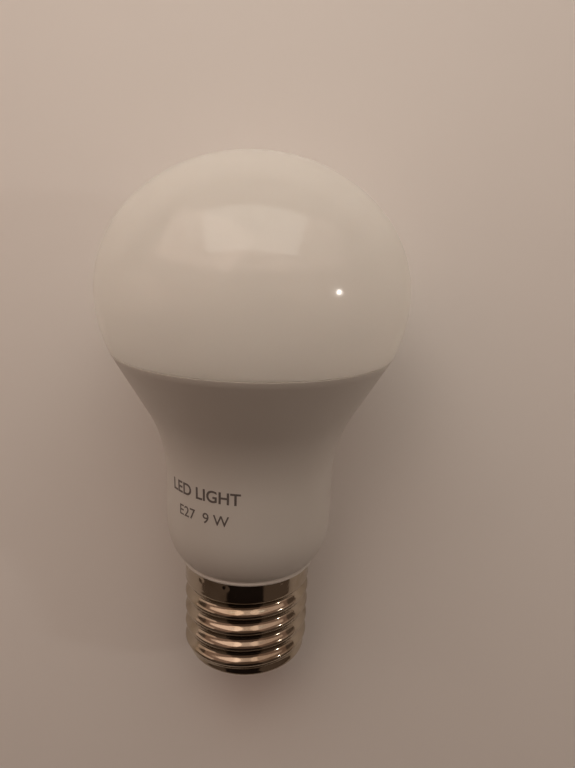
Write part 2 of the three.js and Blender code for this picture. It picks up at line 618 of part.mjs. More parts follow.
const neutralRoute = [
  [-4, 2.5, DRIVER.bottomZ - SEAT],
  [-4.3, 2.4, 10.4],
  [-6.4, 1.8, 8.4],
  [-9.4, 1.2, 7.95],
  [-11.2, 0.8, 7.95],
];
piece("neutral_lead", wire(neutralRoute, 0.5, 14), wireBlue);

export default lamp;
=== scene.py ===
import math

import bpy
from mathutils import Matrix, Vector


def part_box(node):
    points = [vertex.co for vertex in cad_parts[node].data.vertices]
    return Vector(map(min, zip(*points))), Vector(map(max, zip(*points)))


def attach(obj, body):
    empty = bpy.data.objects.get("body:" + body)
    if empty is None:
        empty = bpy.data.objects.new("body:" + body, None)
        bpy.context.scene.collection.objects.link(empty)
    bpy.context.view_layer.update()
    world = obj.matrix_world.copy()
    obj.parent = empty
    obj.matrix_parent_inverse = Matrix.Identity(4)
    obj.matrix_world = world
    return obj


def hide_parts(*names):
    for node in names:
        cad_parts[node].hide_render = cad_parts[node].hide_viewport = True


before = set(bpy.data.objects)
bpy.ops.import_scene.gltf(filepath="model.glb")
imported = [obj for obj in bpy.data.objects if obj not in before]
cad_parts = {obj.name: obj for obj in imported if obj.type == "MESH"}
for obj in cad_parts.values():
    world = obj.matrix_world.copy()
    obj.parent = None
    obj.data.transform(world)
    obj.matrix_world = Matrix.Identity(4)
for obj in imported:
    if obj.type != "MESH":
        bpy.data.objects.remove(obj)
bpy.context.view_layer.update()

# ---------------------------------------------------------------- camera
# The lamp lies on a table, and the camera looks straight down on it from about 15 cm. The globe is fatter
# than the cap, so the lamp's axis rises a little at the globe's end, and it leans a little to one side.
MM = 0.001
AXIS_RISE = math.radians(14.33)
AXIS_LEAN = math.radians(2.25)
CONTACT_FROM_CAMERA = Vector((-9.62, -62.46, -145.78)) * MM  # left of, below and in front of the lens
LENS = 30.23

lamp_z = Vector((
    math.sin(AXIS_LEAN) * math.cos(AXIS_RISE),
    math.cos(AXIS_LEAN) * math.cos(AXIS_RISE),
    math.sin(AXIS_RISE),
))
lamp_x = (Vector((1, 0, 0)) - lamp_z * lamp_z.x).normalized()
lamp_y = lamp_z.cross(lamp_x)
lamp_in_camera = Matrix((lamp_x, lamp_y, lamp_z)).transposed().to_4x4()
lamp_in_camera.translation = CONTACT_FROM_CAMERA


def deselect_all():
    bpy.ops.object.select_all(action="DESELECT")


deselect_all()
bpy.ops.object.camera_add()
camera = bpy.context.object
camera.name = "table_camera"
camera.data.lens = LENS
camera.data.clip_start = 5 * MM
camera.matrix_world = lamp_in_camera.inverted()
bpy.context.scene.camera = camera
bpy.context.scene.view_settings.view_transform = "Standard"

# ---------------------------------------------------------------- table
# A pale painted table top that carries the lamp: it touches the globe behind and the last turn of the
# cap's thread. It is painted on one side only, so that the lamp can also be looked at from below, through
# the table.
TABLE_SIZE = 0.62
TABLE_TILT = math.radians(13.3)  # the two touching points set this
THREAD_CREST_R = 13.2 * MM
LAST_CREST_Z = 8.9 * MM
TABLE_CLEARANCE = 0.3 * MM
TABLE_SHIFT = 45 * MM  # along the lamp, from the crest that touches to the table's middle

table_normal = Vector((0, -math.cos(TABLE_TILT), math.sin(TABLE_TILT)))
crest_behind = Vector((0, THREAD_CREST_R, LAST_CREST_Z))
touching = crest_behind - table_normal * TABLE_CLEARANCE
table_up = Vector((1, 0, 0)).cross(table_normal) * -1
table_centre = touching + table_up * TABLE_SHIFT


def principled(name):
    material = bpy.data.materials.new(name)
    material.use_nodes = True
    shader = material.node_tree.nodes["Principled BSDF"]
    return material, material.node_tree, shader


def feed(entry, value):
    """Links a node's input to another node's output, or sets it to a value."""
    if isinstance(value, bpy.types.NodeSocket):
        entry.id_data.links.new(value, entry)
    else:
        entry.default_value = value


def add_node(tree, kind, **settings):
    """Adds a node with its properties and inputs set. An underscore stands for a space in an input's name."""
    node = tree.nodes.new(kind)
    for key, value in settings.items():
        entry = key.replace("_", " ")
        if entry in node.inputs:
            feed(node.inputs[entry], value)
        else:
            setattr(node, key, value)
    return node


def object_place(tree):
    return add_node(tree, "ShaderNodeTexCoord").outputs["Object"]


def noise(tree, place, scale, detail=2.0, distortion=0.0):
    texture = add_node(tree, "ShaderNodeTexNoise", Vector=place, Scale=scale, Detail=detail)
    feed(texture.inputs["Distortion"], distortion)
    return texture.outputs["Fac"]


def ramp(tree, share, low_colour, high_colour):
    tone = add_node(tree, "ShaderNodeValToRGB", Fac=share)
    tone.color_ramp.elements[0].color = (*low_colour, 1)
    tone.color_ramp.elements[1].color = (*high_colour, 1)
    return tone.outputs["Color"]


def mix_shaders(tree, output, share, first, second):
    """Mixes two shaders by a number or a node's output, and sends them to the output node's surface."""
    mix = add_node(tree, "ShaderNodeMixShader", Fac=share)
    feed(mix.inputs[1], first)
    feed(mix.inputs[2], second)
    feed(tree.nodes[output].inputs["Surface"], mix.outputs["Shader"])


def make_table_paint():
    material, tree, shader = principled("table_paint")
    cloud = noise(tree, object_place(tree), 14.0, 3.0)
    feed(shader.inputs["Base Color"], ramp(tree, cloud, (0.82, 0.80, 0.78), (0.88, 0.86, 0.84)))
    feed(shader.inputs["Roughness"], 0.55)
    behind = add_node(tree, "ShaderNodeNewGeometry").outputs["Backfacing"]
    clear = add_node(tree, "ShaderNodeBsdfTransparent").outputs["BSDF"]
    mix_shaders(tree, "Material Output", behind, shader.outputs["BSDF"], clear)
    return material


turn_to_table = table_normal.to_track_quat("Z", "Y")
deselect_all()
bpy.ops.mesh.primitive_plane_add(size=TABLE_SIZE, location=table_centre, rotation=turn_to_table.to_euler())
table = bpy.context.object
table.name = "table_top"
table.data.materials.append(make_table_paint())

# ---------------------------------------------------------------- lights
# Soft panels stand in an arc round the globe's end, like a window between pale walls, with one above them,
# two low ones beside the lamp and a weak ceiling light. A small lamp far to the right makes the bright point
# on the globe, and the dark coat of whoever leans over the table shows in the cap's metal.
WINDOW_COLOUR = (1.0, 0.98, 0.87)
SIDE_COLOUR = (1.0, 0.76, 0.63)
WALL_COLOUR = (1.0, 0.62, 0.48)
CEILING_COLOUR = (1.0, 0.42, 0.25)
ROOM_COLOUR = (1.0, 0.68, 0.50)
BACKDROP_COLOUR = (0.62, 0.52, 0.44)
FAR_LAMP_COLOUR = (1.0, 0.93, 0.84)
PANEL_SIZE = (0.42, 0.28)
PANEL_DISTANCE = 0.32
PANEL_HEIGHT = 0.27
HIGH_WINDOW_SIZE = (0.30, 0.14)
HIGH_WINDOW_REACH = (0.20, 0.40)  # along the table and away from it
HIGH_WINDOW_STRENGTH = 0.60
LOW_LIGHT_SIZE = (0.40, 0.22)
LOW_LIGHT_REACH = 0.50
LOW_LIGHT_HEIGHT = 0.13
CEILING_SIZE = 1.1
CEILING_DISTANCE = 0.85
CEILING_STRENGTH = 0.03
ROOM_STRENGTH = 0.09
BACKDROP_STRENGTH = 0.7
COAT_COLOUR = (0.020, 0.014, 0.014)
COAT_SIZE = 0.45
COAT_REACH = (-0.33, 0.30)
GLOBE_WIDEST_Z = 83 * MM
FAR_LAMP_SIZE = 0.06
FAR_LAMP_STRENGTH = 60.0
FAR_LAMP_DISTANCE = 1.1
FAR_LAMP_DIRECTION = Vector((0.87, -0.473, 0.14))


def add_area_light(name, width, height, radiance, colour, place, target):
    """Adds an area light, round if it is as wide as high. The camera doesn't see it."""
    deselect_all()
    bpy.ops.object.light_add(type="AREA", location=place)
    light = bpy.context.object
    light.name = name
    light.data.shape = "ELLIPSE" if width == height else "RECTANGLE"
    light.data.size = width
    light.data.size_y = height
    light.data.color = colour
    face = width * height * (math.pi / 4 if width == height else 1)
    light.data.energy = radiance * math.pi * face
    light.rotation_euler = (Vector(target) - Vector(place)).to_track_quat("-Z", "Y").to_euler()
    light.visible_camera = False
    return light


lamp_middle = Vector((0, 0, 60 * MM))
window_panels = [  # name, turn from straight up in degrees, strength, colour
    ("window_panel", 0, 1.18, WINDOW_COLOUR),
    ("left_panel", -38, 0.98, SIDE_COLOUR),
    ("right_panel", 38, 0.45, SIDE_COLOUR),
    ("left_wall", -76, 0.22, WALL_COLOUR),
    ("right_wall", 76, 0.16, WALL_COLOUR),
]
for light_name, turn, strength, colour in window_panels:
    across = Vector((math.sin(math.radians(turn)), 0, 0)) + table_up * math.cos(math.radians(turn))
    panel_place = lamp_middle + across * PANEL_DISTANCE + table_normal * PANEL_HEIGHT
    add_area_light(light_name, *PANEL_SIZE, strength, colour, panel_place, lamp_middle)
for light_name, side, strength in (("left_lamp", -1, 0.50), ("right_lamp", 1, 0.18)):
    low_place = lamp_middle + Vector((side * LOW_LIGHT_REACH, 0, 0)) + table_normal * LOW_LIGHT_HEIGHT
    add_area_light(light_name, *LOW_LIGHT_SIZE, strength, SIDE_COLOUR, low_place, lamp_middle)
high_place = lamp_middle + table_up * HIGH_WINDOW_REACH[0] + table_normal * HIGH_WINDOW_REACH[1]
add_area_light("high_window", *HIGH_WINDOW_SIZE, HIGH_WINDOW_STRENGTH, SIDE_COLOUR, high_place, lamp_middle)
ceiling_place = lamp_middle + table_normal * CEILING_DISTANCE
add_area_light(
    "ceiling_light", CEILING_SIZE, CEILING_SIZE, CEILING_STRENGTH, CEILING_COLOUR, ceiling_place, lamp_middle
)
globe_middle = Vector((0, 0, GLOBE_WIDEST_Z))
far_lamp_place = globe_middle + FAR_LAMP_DIRECTION * FAR_LAMP_DISTANCE
add_area_light(
    "far_lamp", FAR_LAMP_SIZE, FAR_LAMP_SIZE, FAR_LAMP_STRENGTH, FAR_LAMP_COLOUR, far_lamp_place, globe_middle
)

coat_place = lamp_middle + table_up * COAT_REACH[0] + table_normal * COAT_REACH[1]
coat_turn = (lamp_middle - coat_place).to_track_quat("Z", "X")
deselect_all()
bpy.ops.mesh.primitive_plane_add(size=COAT_SIZE, location=coat_place, rotation=coat_turn.to_euler())
coat = bpy.context.object
coat.name = "viewer_coat"
coat_cloth, coat_tree, coat_shader = principled("dark_coat")
weave = add_node(coat_tree, "ShaderNodeTexNoise", Scale=400.0)
weave_bump = add_node(coat_tree, "ShaderNodeBump", Strength=0.4, Height=weave.outputs["Fac"])
feed(coat_shader.inputs["Normal"], weave_bump.outputs["Normal"])
feed(coat_shader.inputs["Base Color"], (*COAT_COLOUR, 1))
feed(coat_shader.inputs["Roughness"], 0.9)
coat.data.materials.append(coat_cloth)
coat.visible_camera = False

world = bpy.data.worlds.new("room")
bpy.context.scene.world = world
world.use_nodes = True
world_tree = world.node_tree
dim_room = world_tree.nodes["Background"]
feed(dim_room.inputs["Color"], (*ROOM_COLOUR, 1))
feed(dim_room.inputs["Strength"], ROOM_STRENGTH)
# a pale backdrop for a camera that looks past the table, which lights nothing
backdrop_look = {"Color": (*BACKDROP_COLOUR, 1), "Strength": BACKDROP_STRENGTH}
backdrop = add_node(world_tree, "ShaderNodeBackground", **backdrop_look)
seen = add_node(world_tree, "ShaderNodeLightPath").outputs["Is Camera Ray"]
mix_shaders(world_tree, "World Output", seen, dim_room.outputs["Background"], backdrop.outputs["Background"])

# ---------------------------------------------------------------- screw shell
# The nickel-plated steel shell of the screw cap: drawn from sheet, its rounded thread rolled in, a plain
# band left above the thread. Fourteen small punch marks under its rim fix it on the housing's spigot.
SHELL_WALL = 0.35 * MM
SHELL_BOTTOM_Z = 5.2 * MM
SHELL_TOP_Z = 26.95 * MM
SHELL_EDGE_R = 10.8 * MM
SHELL_TAPER_Z = 8.0 * MM
THREAD_DEPTH = 1.0 * MM
THREAD_PITCH = 3.629 * MM
THREAD_CREST_Z = 9.8 * MM  # height of a crest on the +X side
THREAD_TOP_Z = 22.0 * MM
THREAD_FADE = 1.8 * MM
SHELL_ROW = 0.16 * MM
SHELL_STEPS = 224
PUNCH_COUNT = 14
PUNCH_Z = 26.0 * MM
PUNCH_TURN = math.radians(-80)
PUNCH_R = 0.42 * MM
PUNCH_DEPTH = 0.13 * MM


def spin_profile(name, profile, steps):
    """Draws a closed half section, point by point, and spins it once round the lamp's axis."""
    deselect_all()
    bpy.ops.mesh.primitive_plane_add(size=MM, location=(profile[0][0], 0, profile[0][1]))
    piece = bpy.context.object
    piece.name = name
    bpy.ops.object.transform_apply(location=True, rotation=True, scale=True)
    bpy.ops.object.mode_set(mode="EDIT")
    bpy.ops.mesh.select_mode(type="VERT")
    bpy.ops.mesh.select_all(action="SELECT")
    bpy.ops.mesh.merge(type="CENTER")
    for (r, z), (next_r, next_z) in zip(profile, profile[1:] + profile[:1]):
        bpy.ops.mesh.extrude_region_move(TRANSFORM_OT_translate={"value": (next_r - r, 0, next_z - z)})
    bpy.ops.mesh.select_all(action="SELECT")
    bpy.ops.mesh.remove_doubles(threshold=0.001 * MM)
    bpy.ops.mesh.spin(steps=steps, angle=2 * math.pi, center=(0, 0, 0), axis=(0, 0, 1))
    bpy.ops.mesh.select_all(action="SELECT")
    bpy.ops.mesh.remove_doubles(threshold=0.001 * MM)
    bpy.ops.mesh.normals_make_consistent(inside=False)
    bpy.ops.object.mode_set(mode="OBJECT")
    return piece


def select_only(piece):
    deselect_all()
    piece.select_set(True)
    bpy.context.view_layer.objects.active = piece


def smooth_below(piece, degrees):
    select_only(piece)
    bpy.ops.object.shade_smooth_by_angle(angle=math.radians(degrees))


def bow(centre, radii, start, end, count):
    """Points on an ellipse from one angle to another, in degrees from level."""
    turns = [math.radians(start + (end - start) * i / count) for i in range(count + 1)]
    return [(centre[0] + radii[0] * math.cos(t), centre[1] + radii[1] * math.sin(t)) for t in turns]


def straight(start, end, step):
    count = max(1, round(math.dist(start, end) / step))
    return [(start[0] + (end[0] - start[0]) * i / count, start[1] + (end[1] - start[1]) * i / count)
            for i in range(count + 1)]


def smoothstep(value, low, high):
    share = min(1.0, max(0.0, (value - low) / (high - low)))
    return share * share * (3 - 2 * share)


def thread_groove(place):
    """How deep the rolled groove is at a place on the shell."""
    fade = 1 - smoothstep(place.z, THREAD_TOP_Z, THREAD_TOP_Z + THREAD_FADE)
    turns = (place.z - THREAD_CREST_Z) / THREAD_PITCH - math.atan2(place.y, place.x) / (2 * math.pi)
    return THREAD_DEPTH * fade * (0.5 - 0.5 * math.cos(2 * math.pi * turns))


def punch_mark(place):
    """How deep the nearest punch mark is at a place on the shell."""
    turn = math.atan2(place.y, place.x) - PUNCH_TURN
    pitch = 2 * math.pi / PUNCH_COUNT
    across = (turn - pitch * round(turn / pitch)) * THREAD_CREST_R
    away = math.hypot(across, place.z - PUNCH_Z) / PUNCH_R
    return PUNCH_DEPTH * math.exp(-away * away)


inner_crest_r = THREAD_CREST_R - SHELL_WALL
taper = bow((SHELL_EDGE_R - 0.4 * MM, SHELL_TAPER_Z), (2.8 * MM, 2.8 * MM), -80, 0, 10)
shell_profile = [
    *taper,
    *straight((THREAD_CREST_R, SHELL_TAPER_Z), (THREAD_CREST_R, SHELL_TOP_Z), SHELL_ROW)[1:],
    *straight((inner_crest_r, SHELL_TOP_Z), (inner_crest_r, SHELL_TAPER_Z), 2 * SHELL_ROW),
    (SHELL_EDGE_R + 0.35 * MM, SHELL_BOTTOM_Z + 0.45 * MM),
    (SHELL_EDGE_R - 0.35 * MM, SHELL_BOTTOM_Z + 0.25 * MM),
]
shell = spin_profile("screw_shell", shell_profile, SHELL_STEPS)
for vertex in shell.data.vertices:
    radius = math.hypot(vertex.co.x, vertex.co.y)
    taper_share = smoothstep(vertex.co.z, SHELL_BOTTOM_Z, SHELL_TAPER_Z)
    shrink = thread_groove(vertex.co) * taper_share + punch_mark(vertex.co)
    vertex.co.xy = vertex.co.xy * ((radius - shrink) / radius)
smooth_below(shell, 40)


def start_group(name, **own_inputs):
    """Starts a surface's node group and gives it with its inputs. Its own inputs come with their kinds."""
    group = bpy.data.node_groups.new(name, "ShaderNodeTree")
    inputs = {"Vector": "Vector", **own_inputs, "Low_Roughness": "Float", "High_Roughness": "Float"}
    outputs = {"Color": "Color", "Roughness": "Float", "Height": "Float"}
    for in_out, sockets in ("INPUT", inputs), ("OUTPUT", outputs):
        for key, kind in sockets.items():
            label = key.replace("_", " ")
            group.interface.new_socket(label, in_out=in_out, socket_type=f"NodeSocket{kind}")
    return group, add_node(group, "NodeGroupInput").outputs


def grade(tree, share, low, high, start=0.0, end=1.0):
    """Spreads a share, between a start and an end, over the range from low to high."""
    spread = add_node(tree, "ShaderNodeMapRange", Value=share, From_Min=start, From_Max=end)
    feed(spread.inputs["To Min"], low)
    feed(spread.inputs["To Max"], high)
    return spread.outputs["Result"]


def blend(tree, share, first, second):
    """Blends two colours, each a colour or a node's output."""
    mix = add_node(tree, "ShaderNodeMix", data_type="RGBA", Factor=share, A=first, B=second)
    return mix.outputs["Result"]


def calculate(tree, operation, *values):
    """Adds a Math node on some values, each a number or a node's output, and gives its result."""
    node = add_node(tree, "ShaderNodeMath", operation=operation)
    for entry, value in zip(node.inputs, values):
        feed(entry, value)
    return node.outputs["Value"]


def dress(tree, shader, colour, roughness, height, strength, depth):
    """Gives a shader its colour and roughness, and bumps its surface by a height."""
    bump = add_node(tree, "ShaderNodeBump", Strength=strength, Distance=depth, Height=height)
    feed(shader.inputs["Base Color"], colour)
    feed(shader.inputs["Roughness"], roughness)
    feed(shader.inputs["Normal"], bump.outputs["Normal"])


def make_metal_wear():
    """Fine lines round the axis, small scuffs and a faint tarnish, for plated and drawn metal."""
    group, given = start_group("metal_wear", Bright="Color", Tarnish="Color")
    stretch = add_node(group, "ShaderNodeMapping", Vector=given["Vector"], Scale=(60, 60, 3200))
    lines = noise(group, stretch.outputs["Vector"], 1.0)
    patches = noise(group, given["Vector"], 190.0, 4.0)
    scuffs = noise(group, given["Vector"], 900.0, 2.0, 0.8)
    patch_mask = grade(group, patches, 0.0, 1.0, 0.48, 0.75)
    add_node(
        group,
        "NodeGroupOutput",
        Color=blend(group, patch_mask, given["Bright"], given["Tarnish"]),
        Roughness=grade(group, scuffs, given["Low Roughness"], given["High Roughness"], 0.3, 0.7),
        Height=calculate(group, "MULTIPLY_ADD", lines, 0.6, scuffs),
    )
    return group


metal_wear = make_metal_wear()


def worn_metal(name, bright, tarnish, low, high, depth):
    material, tree, shader = principled(name)
    wear = add_node(
        tree, "ShaderNodeGroup", node_tree=metal_wear, Vector=object_place(tree),
        Bright=(*bright, 1), Tarnish=(*tarnish, 1), Low_Roughness=low, High_Roughness=high,
    ).outputs
    dress(tree, shader, wear["Color"], wear["Roughness"], wear["Height"], 0.25, depth)
    feed(shader.inputs["Metallic"], 1.0)
    return material


def stand_for(piece, node):
    """Puts a piece on the lamp's one body in place of a CAD node, which it hides."""
    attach(piece, "root")
    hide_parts(node)


nickel = worn_metal("nickel_plate", (0.47, 0.41, 0.33), (0.34, 0.28, 0.20), 0.07, 0.15, 0.01 * MM)
shell.data.materials.append(nickel)
stand_for(shell, "cap_shell")

# ---------------------------------------------------------------- cap insulator
# The black glass bead at the end of the cap. It is poured hot into the shell's open end, and its smooth
# round shoulder keeps the shell and the centre contact apart.
INSULATOR_R = 10.1 * MM
INSULATOR_BASE_Z = 1.05 * MM
INSULATOR_TOP_Z = 7.2 * MM
PIN_R = 1.7 * MM

insulator_profile = [
    (PIN_R + 0.2 * MM, INSULATOR_BASE_Z),
    *straight((3.4 * MM, INSULATOR_BASE_Z), (5.9 * MM, INSULATOR_BASE_Z), 0.8 * MM),
    (6.3 * MM, 1.2 * MM),
    (6.7 * MM, 1.6 * MM),
    *straight((7.1 * MM, 2.05 * MM), (9.6 * MM, 4.45 * MM), 0.7 * MM),
    (9.9 * MM, 4.75 * MM),
    (INSULATOR_R, 5.1 * MM),
    (INSULATOR_R, INSULATOR_TOP_Z),
    (PIN_R + 0.2 * MM, INSULATOR_TOP_Z),
]
insulator = spin_profile("glass_insulator", insulator_profile, 96)
smooth_below(insulator, 35)


def make_moulded_skin():
    """The faint grain, the uneven gloss and the slight shading of a moulded or poured surface."""
    group, given = start_group("moulded_skin", Light="Color", Shade="Color", Grain_Scale="Float")
    flow = noise(group, given["Vector"], 55.0, 3.0, 0.5)
    gloss = noise(group, given["Vector"], 240.0, 3.0)
    add_node(
        group,
        "NodeGroupOutput",
        Color=blend(group, flow, given["Light"], given["Shade"]),
        Roughness=grade(group, gloss, given["Low Roughness"], given["High Roughness"], 0.3, 0.7),
        Height=noise(group, given["Vector"], given["Grain Scale"]),
    )
    return group


moulded_skin = make_moulded_skin()


def moulded(name, light, shade, grain, low, high, depth):
    material, tree, shader = principled(name)
    skin = add_node(
        tree, "ShaderNodeGroup", node_tree=moulded_skin, Vector=object_place(tree),
        Light=(*light, 1), Shade=(*shade, 1), Grain_Scale=grain, Low_Roughness=low, High_Roughness=high,
    ).outputs
    dress(tree, shader, skin["Color"], skin["Roughness"], skin["Height"], 0.3, depth)
    return material


black_glass = moulded(
    "black_glass", (0.016, 0.013, 0.020), (0.030, 0.026, 0.034), 700.0, 0.06, 0.16, 0.02 * MM
)
insulator.data.materials.append(black_glass)
stand_for(insulator, "cap_insulator")

# ---------------------------------------------------------------- centre contact
# The nickel-plated brass button at the tip, with its pin pressed through the insulator. The live lead is
# crimped in the pin's hollow end. The button's edge is rounded where it rides on the lampholder's spring.
CONTACT_R = 4.75 * MM
CONTACT_T = 1.0 * MM
CONTACT_EDGE = 0.6 * MM

contact_profile = [
    (0.0, 0.0),
    *straight((1.4 * MM, 0.0), (CONTACT_R - CONTACT_EDGE - 0.2 * MM, 0.0), 0.9 * MM),
    *bow((CONTACT_R - CONTACT_EDGE, CONTACT_EDGE), (CONTACT_EDGE, CONTACT_EDGE), -90, 0, 6),
    (CONTACT_R, CONTACT_T),
    (PIN_R, CONTACT_T),
    (PIN_R, INSULATOR_TOP_Z + 0.4 * MM),
    (1.0 * MM, INSULATOR_TOP_Z + 0.4 * MM),
    (1.0 * MM, 4 * MM),
    (0.0, 4 * MM),
]
contact = spin_profile("contact_button", contact_profile, 72)
smooth_below(contact, 35)
contact.data.materials.append(
    worn_metal("contact_plate", (0.78, 0.74, 0.66), (0.55, 0.47, 0.36), 0.22, 0.40, 0.02 * MM)
)
stand_for(contact, "centre_contact")

# ---------------------------------------------------------------- housing
# The white plastic housing, moulded in one shot: a flare under the globe, a straight neck, a round
# shoulder, a thin groove and a lip that covers the screw shell's rim. Its threaded spigot reaches down
# inside the shell.
CAP_TOP_Z = 27.2 * MM
SEAM_Z = 71.8 * MM
SEAM_R = 27.5 * MM
NECK_R = 17.05 * MM
HOUSING_WALL = 1.6 * MM
SPIGOT_R = THREAD_CREST_R - SHELL_WALL - 0.3 * MM
SPIGOT_BORE_R = 10.6 * MM
SPIGOT_END_Z = 8.8 * MM
REBATE_R = 25.2 * MM
REBATE_Z = 68.9 * MM
FLARE_START_Z = 46 * MM
CONE_START = (20.6 * MM, 60 * MM)
FLARE_PULL_Z = CONE_START[1] - 6.1 * MM
SHOULDER_Z = 31 * MM
HOUSING_STEPS = 144


def swept(start, pull, end, count):
    """Points on a quadratic curve that leaves start towards pull and ends at end."""
    shares = [i / count for i in range(count + 1)]
    return [tuple(a * (1 - t) ** 2 + 2 * b * t * (1 - t) + c * t * t for a, b, c in zip(start, pull, end))
            for t in shares]


housing_profile = [
    (SPIGOT_BORE_R, SPIGOT_END_Z),
    (SPIGOT_R - THREAD_DEPTH - 0.3 * MM, SPIGOT_END_Z),
    *straight((SPIGOT_R, SPIGOT_END_Z + 0.6 * MM), (SPIGOT_R, 24 * MM), 0.5 * MM),
    (SPIGOT_R, CAP_TOP_Z),
    (13.2 * MM, CAP_TOP_Z),
    *bow((13.6 * MM, CAP_TOP_Z + 0.35 * MM), (0.35 * MM, 0.35 * MM), -90, 60, 8),
    (13.62 * MM, CAP_TOP_Z + 0.95 * MM),
    (13.75 * MM, CAP_TOP_Z + 1.05 * MM),
    *swept((14.0 * MM, 28.3 * MM), (17.1 * MM, 31.3 * MM), (NECK_R, 38.5 * MM), 20),
    *straight((NECK_R, 39.5 * MM), (NECK_R, FLARE_START_Z), 1.5 * MM),
    *swept((NECK_R, FLARE_START_Z), (NECK_R, FLARE_PULL_Z), CONE_START, 16)[1:],
    *straight(CONE_START, (SEAM_R - 0.04 * MM, SEAM_Z - 0.14 * MM), 1.6 * MM)[1:],
    *bow((SEAM_R - 0.16 * MM, SEAM_Z - 0.12 * MM), (0.12 * MM, 0.12 * MM), 10, 90, 4),
    (REBATE_R, SEAM_Z),
    (REBATE_R, REBATE_Z),
    (23.9 * MM, REBATE_Z),
    (CONE_START[0] - 1.9 * MM, CONE_START[1]),
    (16.4 * MM, 56 * MM),
    (NECK_R - HOUSING_WALL, 51.5 * MM),
    (NECK_R - HOUSING_WALL, SHOULDER_Z + 3 * MM),
    (NECK_R - HOUSING_WALL - 1.2 * MM, SHOULDER_Z),
    (SPIGOT_BORE_R, SHOULDER_Z),
]
housing = spin_profile("white_housing", housing_profile, HOUSING_STEPS)
for vertex in housing.data.vertices:
    radius = math.hypot(vertex.co.x, vertex.co.y)
    if abs(radius - SPIGOT_R) < 0.05 * MM and vertex.co.z < CAP_TOP_Z - 0.1 * MM:
        vertex.co.xy = vertex.co.xy * ((radius - thread_groove(vertex.co)) / radius)
smooth_below(housing, 35)
housing.data.materials.append(
    moulded("white_plastic", (0.68, 0.67, 0.64), (0.65, 0.64, 0.60), 2600.0, 0.34, 0.44, 0.02 * MM)
)
stand_for(housing, "lamp_housing")

# ---------------------------------------------------------------- neck print
# The two lines that are pad-printed on the neck in grey ink, a little to the left of the front. A generic
# marking stands in for the maker's own.
PRINT_INK_T = 0.02 * MM
PRINT_LIFT = 0.01 * MM
print_lines = [  # text, letter size, height of its baseline, thickening of the strokes
    ("LED LIGHT", 3.3 * MM, 45.8 * MM, 0.06 * MM),
    ("E27  9 W", 3.0 * MM, 41.3 * MM, 0.015 * MM),
]
PRINT_TURN = math.radians(-119)  # 29 degrees to the left of the front
ink, ink_tree, ink_shader = principled("grey_ink")
ink_speckle = noise(ink_tree, object_place(ink_tree), 4000.0)
feed(ink_shader.inputs["Base Color"], ramp(ink_tree, ink_speckle, (0.09, 0.08, 0.08), (0.20, 0.18, 0.17)))
feed(ink_shader.inputs["Roughness"], 0.45)


def neck_radius(z):
    """The housing's radius at a height on the neck, or on the flare's quadratic curve above it."""
    pull_rise = 2 * (FLARE_PULL_Z - FLARE_START_Z)
    bend = pull_rise - (CONE_START[1] - FLARE_START_Z)
    rise = max(0.0, z - FLARE_START_Z)
    share = (pull_rise - math.sqrt(pull_rise ** 2 - 4 * bend * rise)) / (2 * bend)
    return NECK_R + (CONE_START[0] - NECK_R) * share ** 2


for number, (words, letter_size, baseline_z, swelling) in enumerate(print_lines, start=1):
    deselect_all()
    bpy.ops.object.text_add()
    line = bpy.context.object
    line.name = f"neck_print_{number}"
    line.data.body = words
    line.data.size = letter_size
    line.data.offset = swelling
    line.data.extrude = PRINT_INK_T / 2
    line.data.align_x = "CENTER"
    bpy.ops.object.convert(target="MESH")
    line = bpy.context.object
    bpy.ops.object.mode_set(mode="EDIT")
    bpy.ops.mesh.select_all(action="SELECT")
    bpy.ops.mesh.remove_doubles(threshold=0.001 * MM)
    bpy.ops.mesh.subdivide(number_cuts=2)
    bpy.ops.mesh.normals_make_consistent(inside=False)
    bpy.ops.object.mode_set(mode="OBJECT")
    for vertex in line.data.vertices:
        turn = PRINT_TURN + vertex.co.x / NECK_R
        height = baseline_z + vertex.co.y
        out = neck_radius(height) + PRINT_LIFT + PRINT_INK_T / 2 + vertex.co.z
        vertex.co = (out * math.cos(turn), out * math.sin(turn), height)
    line.data.materials.append(ink)
    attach(line, "root")

# ---------------------------------------------------------------- globe
# The milky polycarbonate globe, blown with a smooth, rather glossy skin. It lets light through but hides
# the LEDs, and light that enters at the crown comes out again at the sides.
LENGTH = 109 * MM
GLOBE_R = 30 * MM
GLOBE_WALL = 1.4 * MM
GLOBE_SPIGOT_R = REBATE_R - 0.3 * MM
GLOBE_FOOT_Z = SEAM_Z + 0.05 * MM
GLOBE_STEPS = 144
GLOBE_IOR = 2.0  # the skin mirrors the window more strongly than bare plastic would
PASSING_SHARE = 0.6
GLOWING_Z = 88 * MM  # a very weak light here stands for the daylight that a milky wall passes on
GLOWING_R = 6 * MM
GLOWING_WATTS = 0.0057

